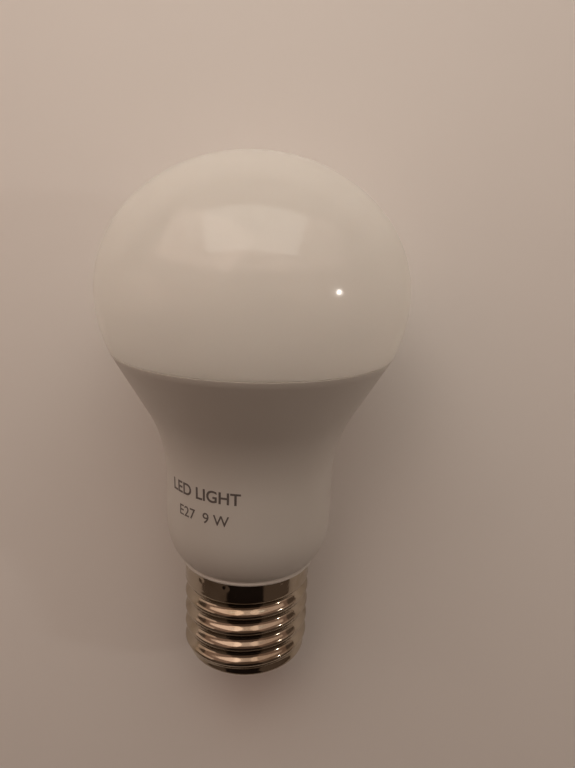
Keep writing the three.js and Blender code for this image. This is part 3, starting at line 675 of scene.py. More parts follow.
crown_h = LENGTH - GLOBE_WIDEST_Z
globe_profile = [
    (GLOBE_SPIGOT_R - GLOBE_WALL, REBATE_Z + 1.0 * MM),
    (GLOBE_SPIGOT_R, REBATE_Z + 1.0 * MM),
    (GLOBE_SPIGOT_R, GLOBE_FOOT_Z),
    *straight((26.0 * MM, GLOBE_FOOT_Z), (27.3 * MM, GLOBE_FOOT_Z), 0.6 * MM),
    (27.5 * MM, GLOBE_FOOT_Z + 0.08 * MM),
    *bow((0, GLOBE_WIDEST_Z), (GLOBE_R, 28 * MM), -22.9, 0, 12),
    *bow((0, GLOBE_WIDEST_Z), (GLOBE_R, crown_h), 0, 90, 44)[1:],
    *bow((0, GLOBE_WIDEST_Z), (GLOBE_R - GLOBE_WALL, crown_h - GLOBE_WALL), 90, 0, 30),
    *bow((0, GLOBE_WIDEST_Z), (GLOBE_R - GLOBE_WALL, 26.6 * MM), 0, -24, 8)[1:],
    (GLOBE_SPIGOT_R - GLOBE_WALL, GLOBE_FOOT_Z),
]
globe = spin_profile("milky_globe", globe_profile, GLOBE_STEPS)
smooth_below(globe, 35)
milky = moulded("milky_plastic", (0.93, 0.91, 0.88), (0.90, 0.88, 0.85), 1500.0, 0.08, 0.13, 0.006 * MM)
milky_tree = milky.node_tree
milky_shader = milky_tree.nodes["Principled BSDF"]
feed(milky_shader.inputs["IOR"], GLOBE_IOR)
passing = add_node(milky_tree, "ShaderNodeBsdfTranslucent", Color=(0.97, 0.95, 0.92, 1))
glossy, milky_light = milky_shader.outputs["BSDF"], passing.outputs["BSDF"]
mix_shaders(milky_tree, "Material Output", PASSING_SHARE, glossy, milky_light)
globe.data.materials.append(milky)
deselect_all()
bpy.ops.object.light_add(type="POINT", location=(0, 0, GLOWING_Z))
stray_light = bpy.context.object
stray_light.name = "light_caught_in_globe"
stray_light.data.energy = GLOWING_WATTS
stray_light.data.color = (1.0, 0.98, 0.95)
stray_light.data.shadow_soft_size = GLOWING_R
stand_for(globe, "globe_diffuser")

# ---------------------------------------------------------------- rim sealant
# The silicone bead that glues the globe's spigot into the housing's rebate. It was laid as a soft line
# and pressed flat below, and it has set with a round top.
BEAD_MIDDLE_R = 24.7 * MM
BEAD_HALF = 0.38 * MM
BEAD_SHOULDER_Z = REBATE_Z + 0.5 * MM

bead_profile = [
    (BEAD_MIDDLE_R - BEAD_HALF, REBATE_Z + 0.06 * MM),
    (BEAD_MIDDLE_R + BEAD_HALF, REBATE_Z + 0.06 * MM),
    *bow((BEAD_MIDDLE_R, BEAD_SHOULDER_Z), (BEAD_HALF, 0.34 * MM), 0, 180, 10),
]
bead = spin_profile("silicone_bead", bead_profile, 144)
smooth_below(bead, 60)
bead.data.materials.append(
    moulded("silicone", (0.78, 0.77, 0.73), (0.70, 0.69, 0.64), 900.0, 0.35, 0.55, 0.05 * MM)
)
stand_for(bead, "rim_sealant")

# ---------------------------------------------------------------- heat sink cup
# The thin aluminium cup that lines the housing and takes the LEDs' heat down to the neck. It is drawn
# from sheet, so its bends are round and fine lines run round it.
CUP_R = NECK_R - HOUSING_WALL - 0.3 * MM
CUP_WALL = 0.9 * MM
CUP_BOTTOM_Z = 35 * MM
CUP_TOP_Z = 66.25 * MM
CUP_RIM = CUP_WALL / 2

cup_profile = [
    *bow((CUP_R - CUP_RIM, CUP_BOTTOM_Z + CUP_RIM), (CUP_RIM, CUP_RIM), -180, 0, 8),
    *swept((CUP_R, 50.4 * MM), (CUP_R, 53.2 * MM), (16.0 * MM, 55.7 * MM), 6),
    *straight((18.4 * MM, 60 * MM), (21.85 * MM, CUP_TOP_Z), 2 * MM),
    (20.75 * MM, CUP_TOP_Z),
    (17.4 * MM, 60.3 * MM),
    *swept((15.1 * MM, 56.3 * MM), (CUP_R - CUP_WALL, 54.1 * MM), (CUP_R - CUP_WALL, 51.0 * MM), 6),
]
cup = spin_profile("drawn_cup", cup_profile, 144)
smooth_below(cup, 35)
drawn_aluminium = worn_metal(
    "drawn_aluminium", (0.74, 0.75, 0.76), (0.58, 0.59, 0.60), 0.30, 0.46, 0.03 * MM
)
cup.data.materials.append(drawn_aluminium)
stand_for(cup, "heat_sink_cup")

# ---------------------------------------------------------------- heat spreader and thermal pad
# A punched aluminium disc closes the cup, and on it lies a soft grey sheet filled with ceramic, which
# carries the heat from the LED board. Their shapes are those of the frame.


def finish_cad(node, material):
    """Gives a CAD node, whose shape is right as it is, its finished material."""
    for material_slot in bpy.data.objects[node].material_slots:
        material_slot.material = material


punched = worn_metal("punched_aluminium", (0.77, 0.78, 0.79), (0.62, 0.62, 0.63), 0.28, 0.5, 0.02 * MM)
finish_cad("heat_spreader", punched)
ceramic = moulded("ceramic_pad", (0.27, 0.29, 0.31), (0.22, 0.24, 0.26), 5200.0, 0.75, 0.95, 0.06 * MM)
finish_cad("thermal_pad", ceramic)

# ---------------------------------------------------------------- LED board
# The round aluminium-core board with a white solder mask. Two ring-shaped copper tracks under the mask
# feed the LEDs and stand up a little, which shows as two faint rings.
TRACK_RINGS = (13.2 * MM, 18.0 * MM)
TRACK_HALF = 0.45 * MM

board_white, board_tree, board_shader = principled("white_solder_mask")
board_place = object_place(board_tree)
board_flat = add_node(board_tree, "ShaderNodeVectorMath", operation="MULTIPLY")
feed(board_flat.inputs[0], board_place)
feed(board_flat.inputs[1], (1, 1, 0))
board_radius = add_node(board_tree, "ShaderNodeVectorMath", operation="LENGTH")
feed(board_radius.inputs[0], board_flat.outputs["Vector"])
rings = [
    calculate(board_tree, "COMPARE", board_radius.outputs["Value"], ring_r, TRACK_HALF)
    for ring_r in TRACK_RINGS
]
either_ring = calculate(board_tree, "MAXIMUM", *rings)
mask_gloss = grade(board_tree, noise(board_tree, board_place, 1600.0), 0.28, 0.48)
mask_colour = blend(board_tree, either_ring, (0.86, 0.86, 0.83, 1), (0.76, 0.77, 0.72, 1))
dress(board_tree, board_shader, mask_colour, mask_gloss, either_ring, 0.5, 0.05 * MM)
finish_cad("led_board", board_white)

# ---------------------------------------------------------------- LEDs
# Twelve surface-mounted white LEDs: a white moulded cup filled with yellow phosphor in silicone, soldered
# by a tinned terminal at each end. One is modelled lying along X and copied round the ring.
LED_COUNT = 12
LED_RING_R = 15.6 * MM
LED_SIZE = (2.8 * MM, 3.5 * MM, 0.8 * MM)
BOARD_TOP_Z = 69.65 * MM
LED_WALL = 0.32 * MM
LED_SINK = 0.10 * MM
LED_LIFT = 0.02 * MM
TERMINAL = (0.5 * MM, 2.4 * MM, 0.18 * MM)
TERMINAL_LIFT = 0.01 * MM
TERMINAL_REACH = 0.05 * MM  # how far a terminal stands out at the body's end


def block(name, middle, size, rounding):
    """A box about a middle point, with all its edges rounded."""
    deselect_all()
    bpy.ops.mesh.primitive_cube_add(size=1, location=middle)
    piece = bpy.context.object
    piece.name = name
    piece.scale = size
    bpy.ops.object.transform_apply(location=True, rotation=True, scale=True)
    bpy.ops.object.mode_set(mode="EDIT")
    bpy.ops.mesh.select_all(action="SELECT")
    bpy.ops.mesh.bevel(offset=rounding, segments=2, affect="EDGES")
    bpy.ops.object.mode_set(mode="OBJECT")
    return piece


def select_faces(piece, test):
    """Goes into edit mode with only those faces selected that pass the test."""
    bpy.context.view_layer.objects.active = piece
    bpy.ops.object.mode_set(mode="EDIT")
    bpy.ops.mesh.select_mode(type="FACE")
    bpy.ops.mesh.select_all(action="DESELECT")
    bpy.ops.object.mode_set(mode="OBJECT")
    for face in piece.data.polygons:
        face.select = test(face)
    bpy.ops.object.mode_set(mode="EDIT")


def paint(piece, material, test):
    """Adds a material and gives it to the faces that pass the test."""
    piece.data.materials.append(material)
    for face in piece.data.polygons:
        if test(face):
            face.material_index = len(piece.data.materials) - 1


def merge(name, parts):
    deselect_all()
    for part in parts:
        part.select_set(True)
    bpy.context.view_layer.objects.active = parts[0]
    bpy.ops.object.join()
    parts[0].name = name
    return parts[0]


def shift(piece, move, turn_z=0.0):
    select_only(piece)
    piece.rotation_euler = (0, 0, turn_z)
    piece.location = move
    bpy.ops.object.transform_apply(location=True, rotation=True, scale=True)


def copy_of(piece, name):
    select_only(piece)
    bpy.ops.object.duplicate(linked=False)
    bpy.context.object.name = name
    return bpy.context.object


led_frame = moulded("led_frame", (0.84, 0.83, 0.79), (0.78, 0.77, 0.72), 3000.0, 0.40, 0.55, 0.01 * MM)
phosphor = moulded("phosphor", (0.83, 0.62, 0.13), (0.78, 0.55, 0.09), 9000.0, 0.22, 0.36, 0.02 * MM)
tin = worn_metal("tin", (0.70, 0.70, 0.69), (0.55, 0.54, 0.52), 0.22, 0.42, 0.01 * MM)

led_middle = (0, 0, LED_SIZE[2] / 2 + LED_LIFT)
led_body_size = (LED_SIZE[0], LED_SIZE[1], LED_SIZE[2] - 2 * LED_LIFT)
led_pattern = block("led_pattern", led_middle, led_body_size, 0.06 * MM)
led_pattern.data.materials.append(led_frame)
top_area = 0.5 * LED_SIZE[0] * LED_SIZE[1]
select_faces(led_pattern, lambda face: face.normal.z > 0.9 and face.area > top_area)
bpy.ops.mesh.inset(thickness=LED_WALL)
bpy.ops.mesh.extrude_region_move(TRANSFORM_OT_translate={"value": (0, 0, -LED_SINK)})
bpy.ops.object.mode_set(mode="OBJECT")
paint(led_pattern, phosphor, lambda face: face.select)
terminal_x = LED_SIZE[0] / 2 - TERMINAL[0] / 2 + TERMINAL_REACH
terminal_z = TERMINAL[2] / 2 + TERMINAL_LIFT
terminals = [block("terminal", (side * terminal_x, 0, terminal_z), TERMINAL, 0.03 * MM) for side in (-1, 1)]
for terminal in terminals:
    terminal.data.materials.append(tin)
led_pattern = merge("led_pattern", [led_pattern, *terminals])
for number in range(LED_COUNT):
    turn = number * 2 * math.pi / LED_COUNT
    led = copy_of(led_pattern, f"led_package_{number + 1:02d}")
    shift(led, (LED_RING_R * math.cos(turn), LED_RING_R * math.sin(turn), BOARD_TOP_Z), turn)
    stand_for(led, f"led_{number + 1:02d}")
bpy.data.objects.remove(led_pattern)

# ---------------------------------------------------------------- board screws
# Three zinc-plated pan-head screws hold the LED board, the pad and the spreader together. Each head has a
# pressed cross recess, and its shank's end is chamfered.
SCREW_RING_R = 18.9 * MM
SCREW_TURNS = [math.radians(30 * step + 15) for step in (1, 5, 9)]
SCREW_HEAD_R = 2.2 * MM
SCREW_SHANK_R = 1.2 * MM
SCREW_LENGTH = 5 * MM
SCREW_RIDGES = 9


def cut_away(piece, tool):
    """Cuts a tool piece out of a piece and removes the tool."""
    select_only(piece)
    modifier = piece.modifiers.new("cut", "BOOLEAN")
    modifier.object = tool
    modifier.solver = "EXACT"
    bpy.ops.object.modifier_apply(modifier=modifier.name)
    bpy.data.objects.remove(tool)


ridge_pitch = (SCREW_LENGTH - 1.2 * MM) / SCREW_RIDGES
ridges = [
    (SCREW_SHANK_R - (0.2 * MM if half % 2 else 0), -SCREW_LENGTH + 0.8 * MM + ridge_pitch * half / 2)
    for half in range(2 * SCREW_RIDGES)
]
screw_profile = [
    (0.0, -SCREW_LENGTH),
    (SCREW_SHANK_R - 0.5 * MM, -SCREW_LENGTH),
    *ridges,
    (SCREW_SHANK_R - 0.1 * MM, 0.0),
    (SCREW_HEAD_R - 0.08 * MM, 0.0),
    (SCREW_HEAD_R, 0.1 * MM),
    *bow((SCREW_HEAD_R - 1.0 * MM, 0.62 * MM), (1.0 * MM, 1.06 * MM), 0, 90, 8),
    (0.0, 1.7 * MM),
]
screw_pattern = spin_profile("screw_pattern", screw_profile, 40)
for cross_size in ((2.6 * MM, 0.5 * MM, 2 * MM), (0.5 * MM, 2.6 * MM, 2 * MM)):
    cut_away(screw_pattern, block("cross", (0, 0, 1.8 * MM), cross_size, 0.08 * MM))
smooth_below(screw_pattern, 30)
screw_pattern.data.materials.append(
    worn_metal("zinc_plate", (0.66, 0.67, 0.69), (0.50, 0.49, 0.46), 0.20, 0.38, 0.02 * MM)
)
for number, turn in enumerate(SCREW_TURNS, start=1):
    screw = copy_of(screw_pattern, f"pan_head_screw_{number}")
    shift(screw, (SCREW_RING_R * math.cos(turn), SCREW_RING_R * math.sin(turn), BOARD_TOP_Z), turn)
    stand_for(screw, f"board_screw_{number}")
bpy.data.objects.remove(screw_pattern)

# ---------------------------------------------------------------- LED connector
# The two-way socket on the LED board, moulded in off-white nylon. The driver's pins come up through the
# board into its two square holes, which are funnelled at the top.
PIN_PITCH = 2.54 * MM
POWER_Y = 7 * MM
SOCKET_SIZE = (8.4 * MM, 4.6 * MM, 3.2 * MM)
SOCKET_HOLE = 1.1 * MM
FUNNEL = 1.7 * MM

socket_middle = (0, POWER_Y, BOARD_TOP_Z + SOCKET_SIZE[2] / 2)
socket = block("pin_socket", socket_middle, SOCKET_SIZE, 0.18 * MM)
for side in (-1, 1):
    hole_x = side * PIN_PITCH / 2
    hole_size = (SOCKET_HOLE, SOCKET_HOLE, SOCKET_SIZE[2] + 1 * MM)
    cut_away(socket, block("hole", (hole_x, POWER_Y, socket_middle[2]), hole_size, 0.05 * MM))
    funnel_z = socket_middle[2] + SOCKET_SIZE[2] / 2
    cut_away(socket, block("funnel", (hole_x, POWER_Y, funnel_z), (FUNNEL, FUNNEL, 0.8 * MM), 0.3 * MM))
smooth_below(socket, 30)
nylon = moulded("off_white_nylon", (0.80, 0.77, 0.69), (0.74, 0.71, 0.62), 2400.0, 0.36, 0.5, 0.02 * MM)
socket.data.materials.append(nylon)
stand_for(socket, "led_connector")

# ---------------------------------------------------------------- driver sleeve
# The insulating tube between the driver and the aluminium cup, moulded in natural flame-proof plastic,
# with two pairs of rails that hold the board. Its shape is that of the frame.
natural = moulded("natural_plastic", (0.70, 0.67, 0.58), (0.63, 0.60, 0.50), 1200.0, 0.38, 0.55, 0.04 * MM)
finish_cad("driver_sleeve", natural)

# ---------------------------------------------------------------- driver and radio boards
# Two glass-fibre boards with a green solder mask over their copper: the driver board reaches down into
# the cap, and the radio board stands up through the LED board. Copper areas and the weave of the glass
# show through the mask.
board_green, green_tree, green_shader = principled("green_solder_mask")
green_place = object_place(green_tree)
cells = add_node(green_tree, "ShaderNodeTexVoronoi", distance="CHEBYCHEV", Vector=green_place, Scale=330.0)
feed(cells.inputs["Randomness"], 0.75)
copper = calculate(green_tree, "LESS_THAN", cells.outputs["Distance"], 0.40)
waves = add_node(green_tree, "ShaderNodeTexWave", Vector=green_place, Scale=700.0, Distortion=0.4, Detail=1.0)
glass_weave = waves.outputs["Fac"]
weave_height = calculate(green_tree, "MULTIPLY", glass_weave, 0.12)
green_height = calculate(green_tree, "ADD", weave_height, copper)
green_colour = blend(green_tree, copper, (0.010, 0.075, 0.030, 1), (0.024, 0.165, 0.062, 1))
green_gloss = grade(green_tree, glass_weave, 0.30, 0.42)
dress(green_tree, green_shader, green_colour, green_gloss, green_height, 0.4, 0.04 * MM)
finish_cad("driver_board", board_green)
finish_cad("radio_board", board_green)

# ---------------------------------------------------------------- can capacitors
# The bulk capacitor and the output capacitor: rolled foil in an aluminium can, crimped over a rubber bung
# and shrunk into a dark sleeve with a pale stripe on the minus side. Their tinned legs bend back to the
# board.
BOARD_FRONT_Y = 1.7 * MM
LEG_R = 0.33 * MM
LEG_BEND = 0.4 * MM
LEG_GAP = 0.05 * MM
CAN_LEG_X = 1.3 * MM
CAN_LEG_DROP = 1.5 * MM
SLEEVE_BLUE = (0.018, 0.026, 0.075, 1)
STRIPE_GREY = (0.52, 0.54, 0.56, 1)
STRIPE_TURN = math.radians(-120)
STRIPE_HALF = math.radians(24)
DASH_HALF = math.radians(9)
DASH_PITCH = 3.2 * MM
DASH_SHARE = 0.45


def tube(name, points, radius, kind="POLY"):
    """A round wire through a list of points, with closed ends."""
    deselect_all()
    bpy.ops.curve.primitive_nurbs_path_add()
    wire = bpy.context.object
    wire.name = name
    wire.data.splines.clear()
    route = wire.data.splines.new(kind)
    route.points.add(len(points) - 1)
    for point, place in zip(route.points, points):
        point.co = (*place, 1)
    route.use_endpoint_u = True
    route.resolution_u = 8
    wire.data.bevel_depth = radius
    wire.data.bevel_resolution = 3
    wire.data.use_fill_caps = True
    bpy.ops.object.convert(target="MESH")
    wire = bpy.context.object
    smooth_below(wire, 50)
    return wire


def tinned_leg(points):
    leg = tube("leg", points, LEG_R)
    leg.data.materials.append(tin)
    return leg


def bent_leg(x, y, inside_z, end_z):
    """A leg that comes out of a part along the lamp's axis and turns to the board."""
    bend = LEG_BEND if end_z < inside_z else -LEG_BEND
    board_y = BOARD_FRONT_Y - LEG_GAP
    return tinned_leg([(x, y, inside_z), (x, y, end_z + bend), (x, y + LEG_BEND, end_z), (x, board_y, end_z)])


def striped_sleeve(name, x, y):
    """A dark shrink sleeve with a pale, dashed stripe along the side that faces away from the board."""
    material, tree, shader = principled(name)
    place = object_place(tree)
    centred = add_node(tree, "ShaderNodeMapping", Vector=place, Location=(-x, -y, 0))
    parts = add_node(tree, "ShaderNodeSeparateXYZ", Vector=centred.outputs["Vector"]).outputs
    turn = calculate(tree, "ARCTAN2", parts["Y"], parts["X"])
    stripe = calculate(tree, "COMPARE", turn, STRIPE_TURN, STRIPE_HALF)
    stripe_middle = calculate(tree, "COMPARE", turn, STRIPE_TURN, DASH_HALF)
    steps = calculate(tree, "FRACT", calculate(tree, "MULTIPLY", parts["Z"], 1 / DASH_PITCH))
    dash = calculate(tree, "MULTIPLY", calculate(tree, "LESS_THAN", steps, DASH_SHARE), stripe_middle)
    striped = blend(tree, stripe, SLEEVE_BLUE, STRIPE_GREY)
    smear = noise(tree, place, 500.0, 3.0)
    colour = blend(tree, dash, striped, SLEEVE_BLUE)
    dress(tree, shader, colour, grade(tree, smear, 0.18, 0.38), smear, 0.25, 0.05 * MM)
    return material


rubber = moulded("black_rubber", (0.020, 0.020, 0.021), (0.032, 0.031, 0.030), 3000.0, 0.6, 0.8, 0.03 * MM)


def can_capacitor(name, node, radius, length, x, y, z):
    profile = [
        (0.0, 0.25 * MM),
        (radius - 1.0 * MM, 0.25 * MM),
        *bow((radius - 0.4 * MM, 0.4 * MM), (0.4 * MM, 0.4 * MM), -110, 0, 6),
        (radius, 1.3 * MM),
        *bow((radius, 1.8 * MM), (0.38 * MM, 0.38 * MM), 270, 90, 8),
        (radius, 2.3 * MM),
        *bow((radius - 0.55 * MM, length - 0.55 * MM), (0.55 * MM, 0.55 * MM), 0, 90, 6),
        (radius - 1.1 * MM, length),
        (radius - 1.2 * MM, length - 0.12 * MM),
        (0.0, length - 0.12 * MM),
    ]
    can = spin_profile(name, profile, 64)
    for groove in ((1.1 * radius, 0.22 * MM, 0.3 * MM), (0.22 * MM, 1.1 * radius, 0.3 * MM)):
        cut_away(can, block("vent", (0, 0, length - 0.1 * MM), groove, 0.05 * MM))
    smooth_below(can, 35)
    can.data.materials.append(striped_sleeve(f"{name}_sleeve", x, y))
    inner_r = radius - 1.0 * MM
    vent_z = length - 0.4 * MM
    paint(can, drawn_aluminium, lambda face: face.center.z > vent_z and face.center.xy.length < inner_r)
    paint(can, rubber, lambda face: face.center.z < 0.3 * MM and face.center.xy.length < inner_r)
    shift(can, (x, y, z))
    legs = [bent_leg(x + leg_x, y, z + 0.5 * MM, z - CAN_LEG_DROP) for leg_x in (-CAN_LEG_X, CAN_LEG_X)]
    can = merge(name, [can, *legs])
    stand_for(can, node)


can_capacitor("bulk_can", "bulk_capacitor", 5 * MM, 15 * MM, 5.8 * MM, -4.6 * MM, 34.4 * MM)
can_capacitor("output_can", "output_capacitor", 4 * MM, 9.5 * MM, 6.4 * MM, -3.6 * MM, 52.2 * MM)

# ---------------------------------------------------------------- fuse resistor
# The safety resistor in the live line: a ceramic rod with end caps under a dipped flame-proof coat with
# colour bands. It stands beside the board on two bent legs.
FUSE_PLACE = (-5.6 * MM, -0.8 * MM, 14.6 * MM)
FUSE_LENGTH = 8.4 * MM
FUSE_R = 1.5 * MM
FUSE_CAP_R = 1.7 * MM
FUSE_LEG_RISE = 1.6 * MM
COAT_GREEN = (0.10, 0.24, 0.15, 1)
BROWN = (0.20, 0.06, 0.02, 1)
BLACK = (0.02, 0.02, 0.02, 1)
GOLD = (0.42, 0.30, 0.10, 1)
BANDS = [  # where each band starts and ends, as shares of the length, and its colour
    (0.20, 0.28, BROWN),
    (0.38, 0.46, BLACK),
    (0.56, 0.64, BROWN),
    (0.80, 0.87, GOLD),
]

fuse_profile = [
    (0.0, 0.0),
    (0.9 * MM, 0.0),
    *bow((FUSE_CAP_R - 0.7 * MM, 0.7 * MM), (0.7 * MM, 0.7 * MM), -80, 0, 6),
    *swept((FUSE_CAP_R, 1.3 * MM), (FUSE_R, 1.7 * MM), (FUSE_R, 2.6 * MM), 6),
    *swept(
        (FUSE_R, FUSE_LENGTH - 2.6 * MM),
        (FUSE_R, FUSE_LENGTH - 1.7 * MM),
        (FUSE_CAP_R, FUSE_LENGTH - 1.3 * MM),
        6,
    ),
    *bow((FUSE_CAP_R - 0.7 * MM, FUSE_LENGTH - 0.7 * MM), (0.7 * MM, 0.7 * MM), 0, 80, 6),
    (0.9 * MM, FUSE_LENGTH),
    (0.0, FUSE_LENGTH),
]
fuse = spin_profile("coated_resistor", fuse_profile, 48)
smooth_below(fuse, 40)
fuse_coat, fuse_tree, fuse_shader = principled("banded_coat")
on_fuse = object_place(fuse_tree)
fuse_parts = add_node(fuse_tree, "ShaderNodeSeparateXYZ", Vector=on_fuse).outputs
fuse_share = grade(fuse_tree, fuse_parts["Z"], 0.0, 1.0, FUSE_PLACE[2], FUSE_PLACE[2] + FUSE_LENGTH)
fuse_bands = add_node(fuse_tree, "ShaderNodeValToRGB", Fac=fuse_share)
fuse_bands.color_ramp.interpolation = "CONSTANT"
fuse_bands.color_ramp.elements[0].color = COAT_GREEN
fuse_bands.color_ramp.elements[1].position = 0.999
fuse_bands.color_ramp.elements[1].color = COAT_GREEN
for start, end, colour in BANDS:
    fuse_bands.color_ramp.elements.new(start).color = colour
    fuse_bands.color_ramp.elements.new(end).color = COAT_GREEN
fuse_grain = noise(fuse_tree, on_fuse, 2400.0)
dress(fuse_tree, fuse_shader, fuse_bands.outputs["Color"], 0.5, fuse_grain, 0.3, 0.04 * MM)
fuse.data.materials.append(fuse_coat)
shift(fuse, FUSE_PLACE)
fuse_x, fuse_y, fuse_z = FUSE_PLACE
fuse_top_z = fuse_z + FUSE_LENGTH
fuse_legs = [
    bent_leg(fuse_x, fuse_y, fuse_z + 0.5 * MM, fuse_z - FUSE_LEG_RISE),
    bent_leg(fuse_x, fuse_y, fuse_top_z - 0.5 * MM, fuse_top_z + FUSE_LEG_RISE),
]
fuse = merge("coated_resistor", [fuse, *fuse_legs])
stand_for(fuse, "fuse_resistor")

# ---------------------------------------------------------------- surge varistor
# A zinc-oxide disc dipped in blue epoxy, which has run a little way down its two legs. It faces the board
# and takes the spikes of the mains.
VARISTOR_PLACE = (4.6 * MM, -1.0 * MM, 18 * MM)
VARISTOR_R = 3.7 * MM
VARISTOR_HALF = 1.6 * MM
VARISTOR_LEG_X = 1.8 * MM


def lay_along_y(piece, middle, turn=90):
    """Lays a piece that was spun about Z down along Y and moves it to its place."""
    select_only(piece)
    piece.rotation_euler = (math.radians(turn), 0, 0)
    piece.location = middle
    bpy.ops.object.transform_apply(location=True, rotation=True, scale=True)


def straight_leg(x, y, z):
    """A leg that goes from inside a part straight to the board."""
    return tinned_leg([(x, y, z), (x, BOARD_FRONT_Y - LEG_GAP, z)])


epoxy_blue = moulded("blue_epoxy", (0.030, 0.125, 0.38), (0.022, 0.095, 0.30), 1300.0, 0.15, 0.3, 0.08 * MM)
varistor_profile = [
    (0.0, -VARISTOR_HALF),
    *straight((0.6 * MM, -VARISTOR_HALF), (VARISTOR_R - 1.4 * MM, -VARISTOR_HALF + 0.05 * MM), 0.6 * MM),
    *bow((VARISTOR_R - 1.15 * MM, 0), (1.15 * MM, VARISTOR_HALF * 0.97), -78, 78, 14),
    *straight((VARISTOR_R - 1.4 * MM, VARISTOR_HALF - 0.05 * MM), (0.6 * MM, VARISTOR_HALF), 0.6 * MM),
    (0.0, VARISTOR_HALF),
]
varistor = spin_profile("dipped_disc", varistor_profile, 64)
smooth_below(varistor, 50)
varistor.data.materials.append(epoxy_blue)
lay_along_y(varistor, VARISTOR_PLACE)
drip_profile = [
    (0.0, -0.5 * MM),
    (0.75 * MM, -0.5 * MM),
    (0.5 * MM, 0.1 * MM),
    (0.36 * MM, 0.5 * MM),
    (0.0, 0.5 * MM),
]
varistor_legs = []
for side in (-1, 1):
    leg_x = VARISTOR_PLACE[0] + side * VARISTOR_LEG_X
    varistor_legs.append(straight_leg(leg_x, 0.2 * MM, VARISTOR_PLACE[2]))
    drip = spin_profile("drip", drip_profile, 24)
    smooth_below(drip, 60)
    drip.data.materials.append(epoxy_blue)
    lay_along_y(drip, (leg_x, 0.9 * MM, VARISTOR_PLACE[2]), -90)
    varistor_legs.append(drip)
varistor = merge("dipped_disc", [varistor, *varistor_legs])
stand_for(varistor, "surge_varistor")

# ---------------------------------------------------------------- filter capacitor
# A metallised film capacitor in a yellow plastic box. The box is open towards the board and potted there
# with resin, from which its two legs come.
FILM_MIDDLE = (1.6 * MM, -1.7 * MM, 26.6 * MM)
FILM_SIZE = (8 * MM, 5.6 * MM, 6.4 * MM)
FILM_LEG_X = 2.5 * MM

film = block("film_box", FILM_MIDDLE, FILM_SIZE, 0.35 * MM)
film.data.materials.append(
    moulded("yellow_box", (0.70, 0.42, 0.035), (0.62, 0.36, 0.025), 1500.0, 0.3, 0.45, 0.03 * MM)
)
select_faces(film, lambda face: face.normal.y > 0.9 and face.area > 0.4 * FILM_SIZE[0] * FILM_SIZE[2])
bpy.ops.mesh.inset(thickness=0.5 * MM)
bpy.ops.mesh.extrude_region_move(TRANSFORM_OT_translate={"value": (0, -0.35 * MM, 0)})
bpy.ops.object.mode_set(mode="OBJECT")
resin = moulded("potting_resin", (0.55, 0.34, 0.06), (0.45, 0.27, 0.04), 800.0, 0.2, 0.4, 0.1 * MM)
paint(film, resin, lambda face: face.select)
smooth_below(film, 30)
film_leg_y = FILM_MIDDLE[1] + FILM_SIZE[1] / 2 - 0.6 * MM
film_legs = [straight_leg(FILM_MIDDLE[0] + side * FILM_LEG_X, film_leg_y, FILM_MIDDLE[2]) for side in (-1, 1)]
film = merge("film_box", [film, *film_legs])
stand_for(film, "filter_capacitor")

# ---------------------------------------------------------------- transformer
# The flyback transformer: a ground ferrite core in two halves with a middle leg, a black bobbin round
# that leg, and enamelled wire under yellow tape wound on the bobbin.
TRANSFORMER_MIDDLE = Vector((-5.0, -3.8, 41.2)) * MM
CORE_SIZE = (10 * MM, 5 * MM, 12 * MM)
CORE_WINDOW = (2 * MM, 6 * MM, 8 * MM)
CORE_WINDOW_X = 2.5 * MM
CORE_JOINT = 0.12 * MM
WINDING_SIZE = (6.1 * MM, 9.0 * MM, 6.0 * MM)
WINDING_HOLE = (4.4 * MM, 6.4 * MM, 7.0 * MM)


def round_edges(piece, width):
    """Rounds every sharp edge of a piece by a bevel modifier, which is applied."""
    select_only(piece)
    modifier = piece.modifiers.new("round", "BEVEL")
    modifier.width = width
    modifier.segments = 2
    modifier.limit_method = "ANGLE"
    bpy.ops.object.modifier_apply(modifier=modifier.name)


ferrite_grey = moulded(
    "ground_ferrite", (0.040, 0.038, 0.038), (0.060, 0.057, 0.055), 2600.0, 0.45, 0.65, 0.05 * MM
)
core = block("ferrite_core", TRANSFORMER_MIDDLE, CORE_SIZE, 0.02 * MM)
for side in (-1, 1):
    window_middle = TRANSFORMER_MIDDLE + Vector((side * CORE_WINDOW_X, 0, 0))
    cut_away(core, block("window", window_middle, CORE_WINDOW, 0.02 * MM))
    joint_middle = TRANSFORMER_MIDDLE + Vector((side * CORE_SIZE[0] / 2, 0, 0))
    cut_away(core, block("joint", joint_middle, (0.3 * MM, CORE_SIZE[1] * 1.2, CORE_JOINT), 0.01 * MM))
round_edges(core, 0.12 * MM)
smooth_below(core, 30)
core.data.materials.append(ferrite_grey)
stand_for(core, "transformer_core")

bobbin_black = moulded(
    "bobbin_moulding", (0.018, 0.018, 0.019), (0.028, 0.027, 0.027), 2000.0, 0.35, 0.5, 0.03 * MM
)
finish_cad("transformer_bobbin", bobbin_black)

winding = block("taped_winding", TRANSFORMER_MIDDLE, WINDING_SIZE, 0.5 * MM)
cut_away(winding, block("hole", TRANSFORMER_MIDDLE, WINDING_HOLE, 0.2 * MM))
smooth_below(winding, 40)
winding.data.materials.append(
    moulded("yellow_tape", (0.72, 0.50, 0.08), (0.60, 0.38, 0.05), 420.0, 0.2, 0.34, 0.25 * MM)
)
stand_for(winding, "transformer_winding")

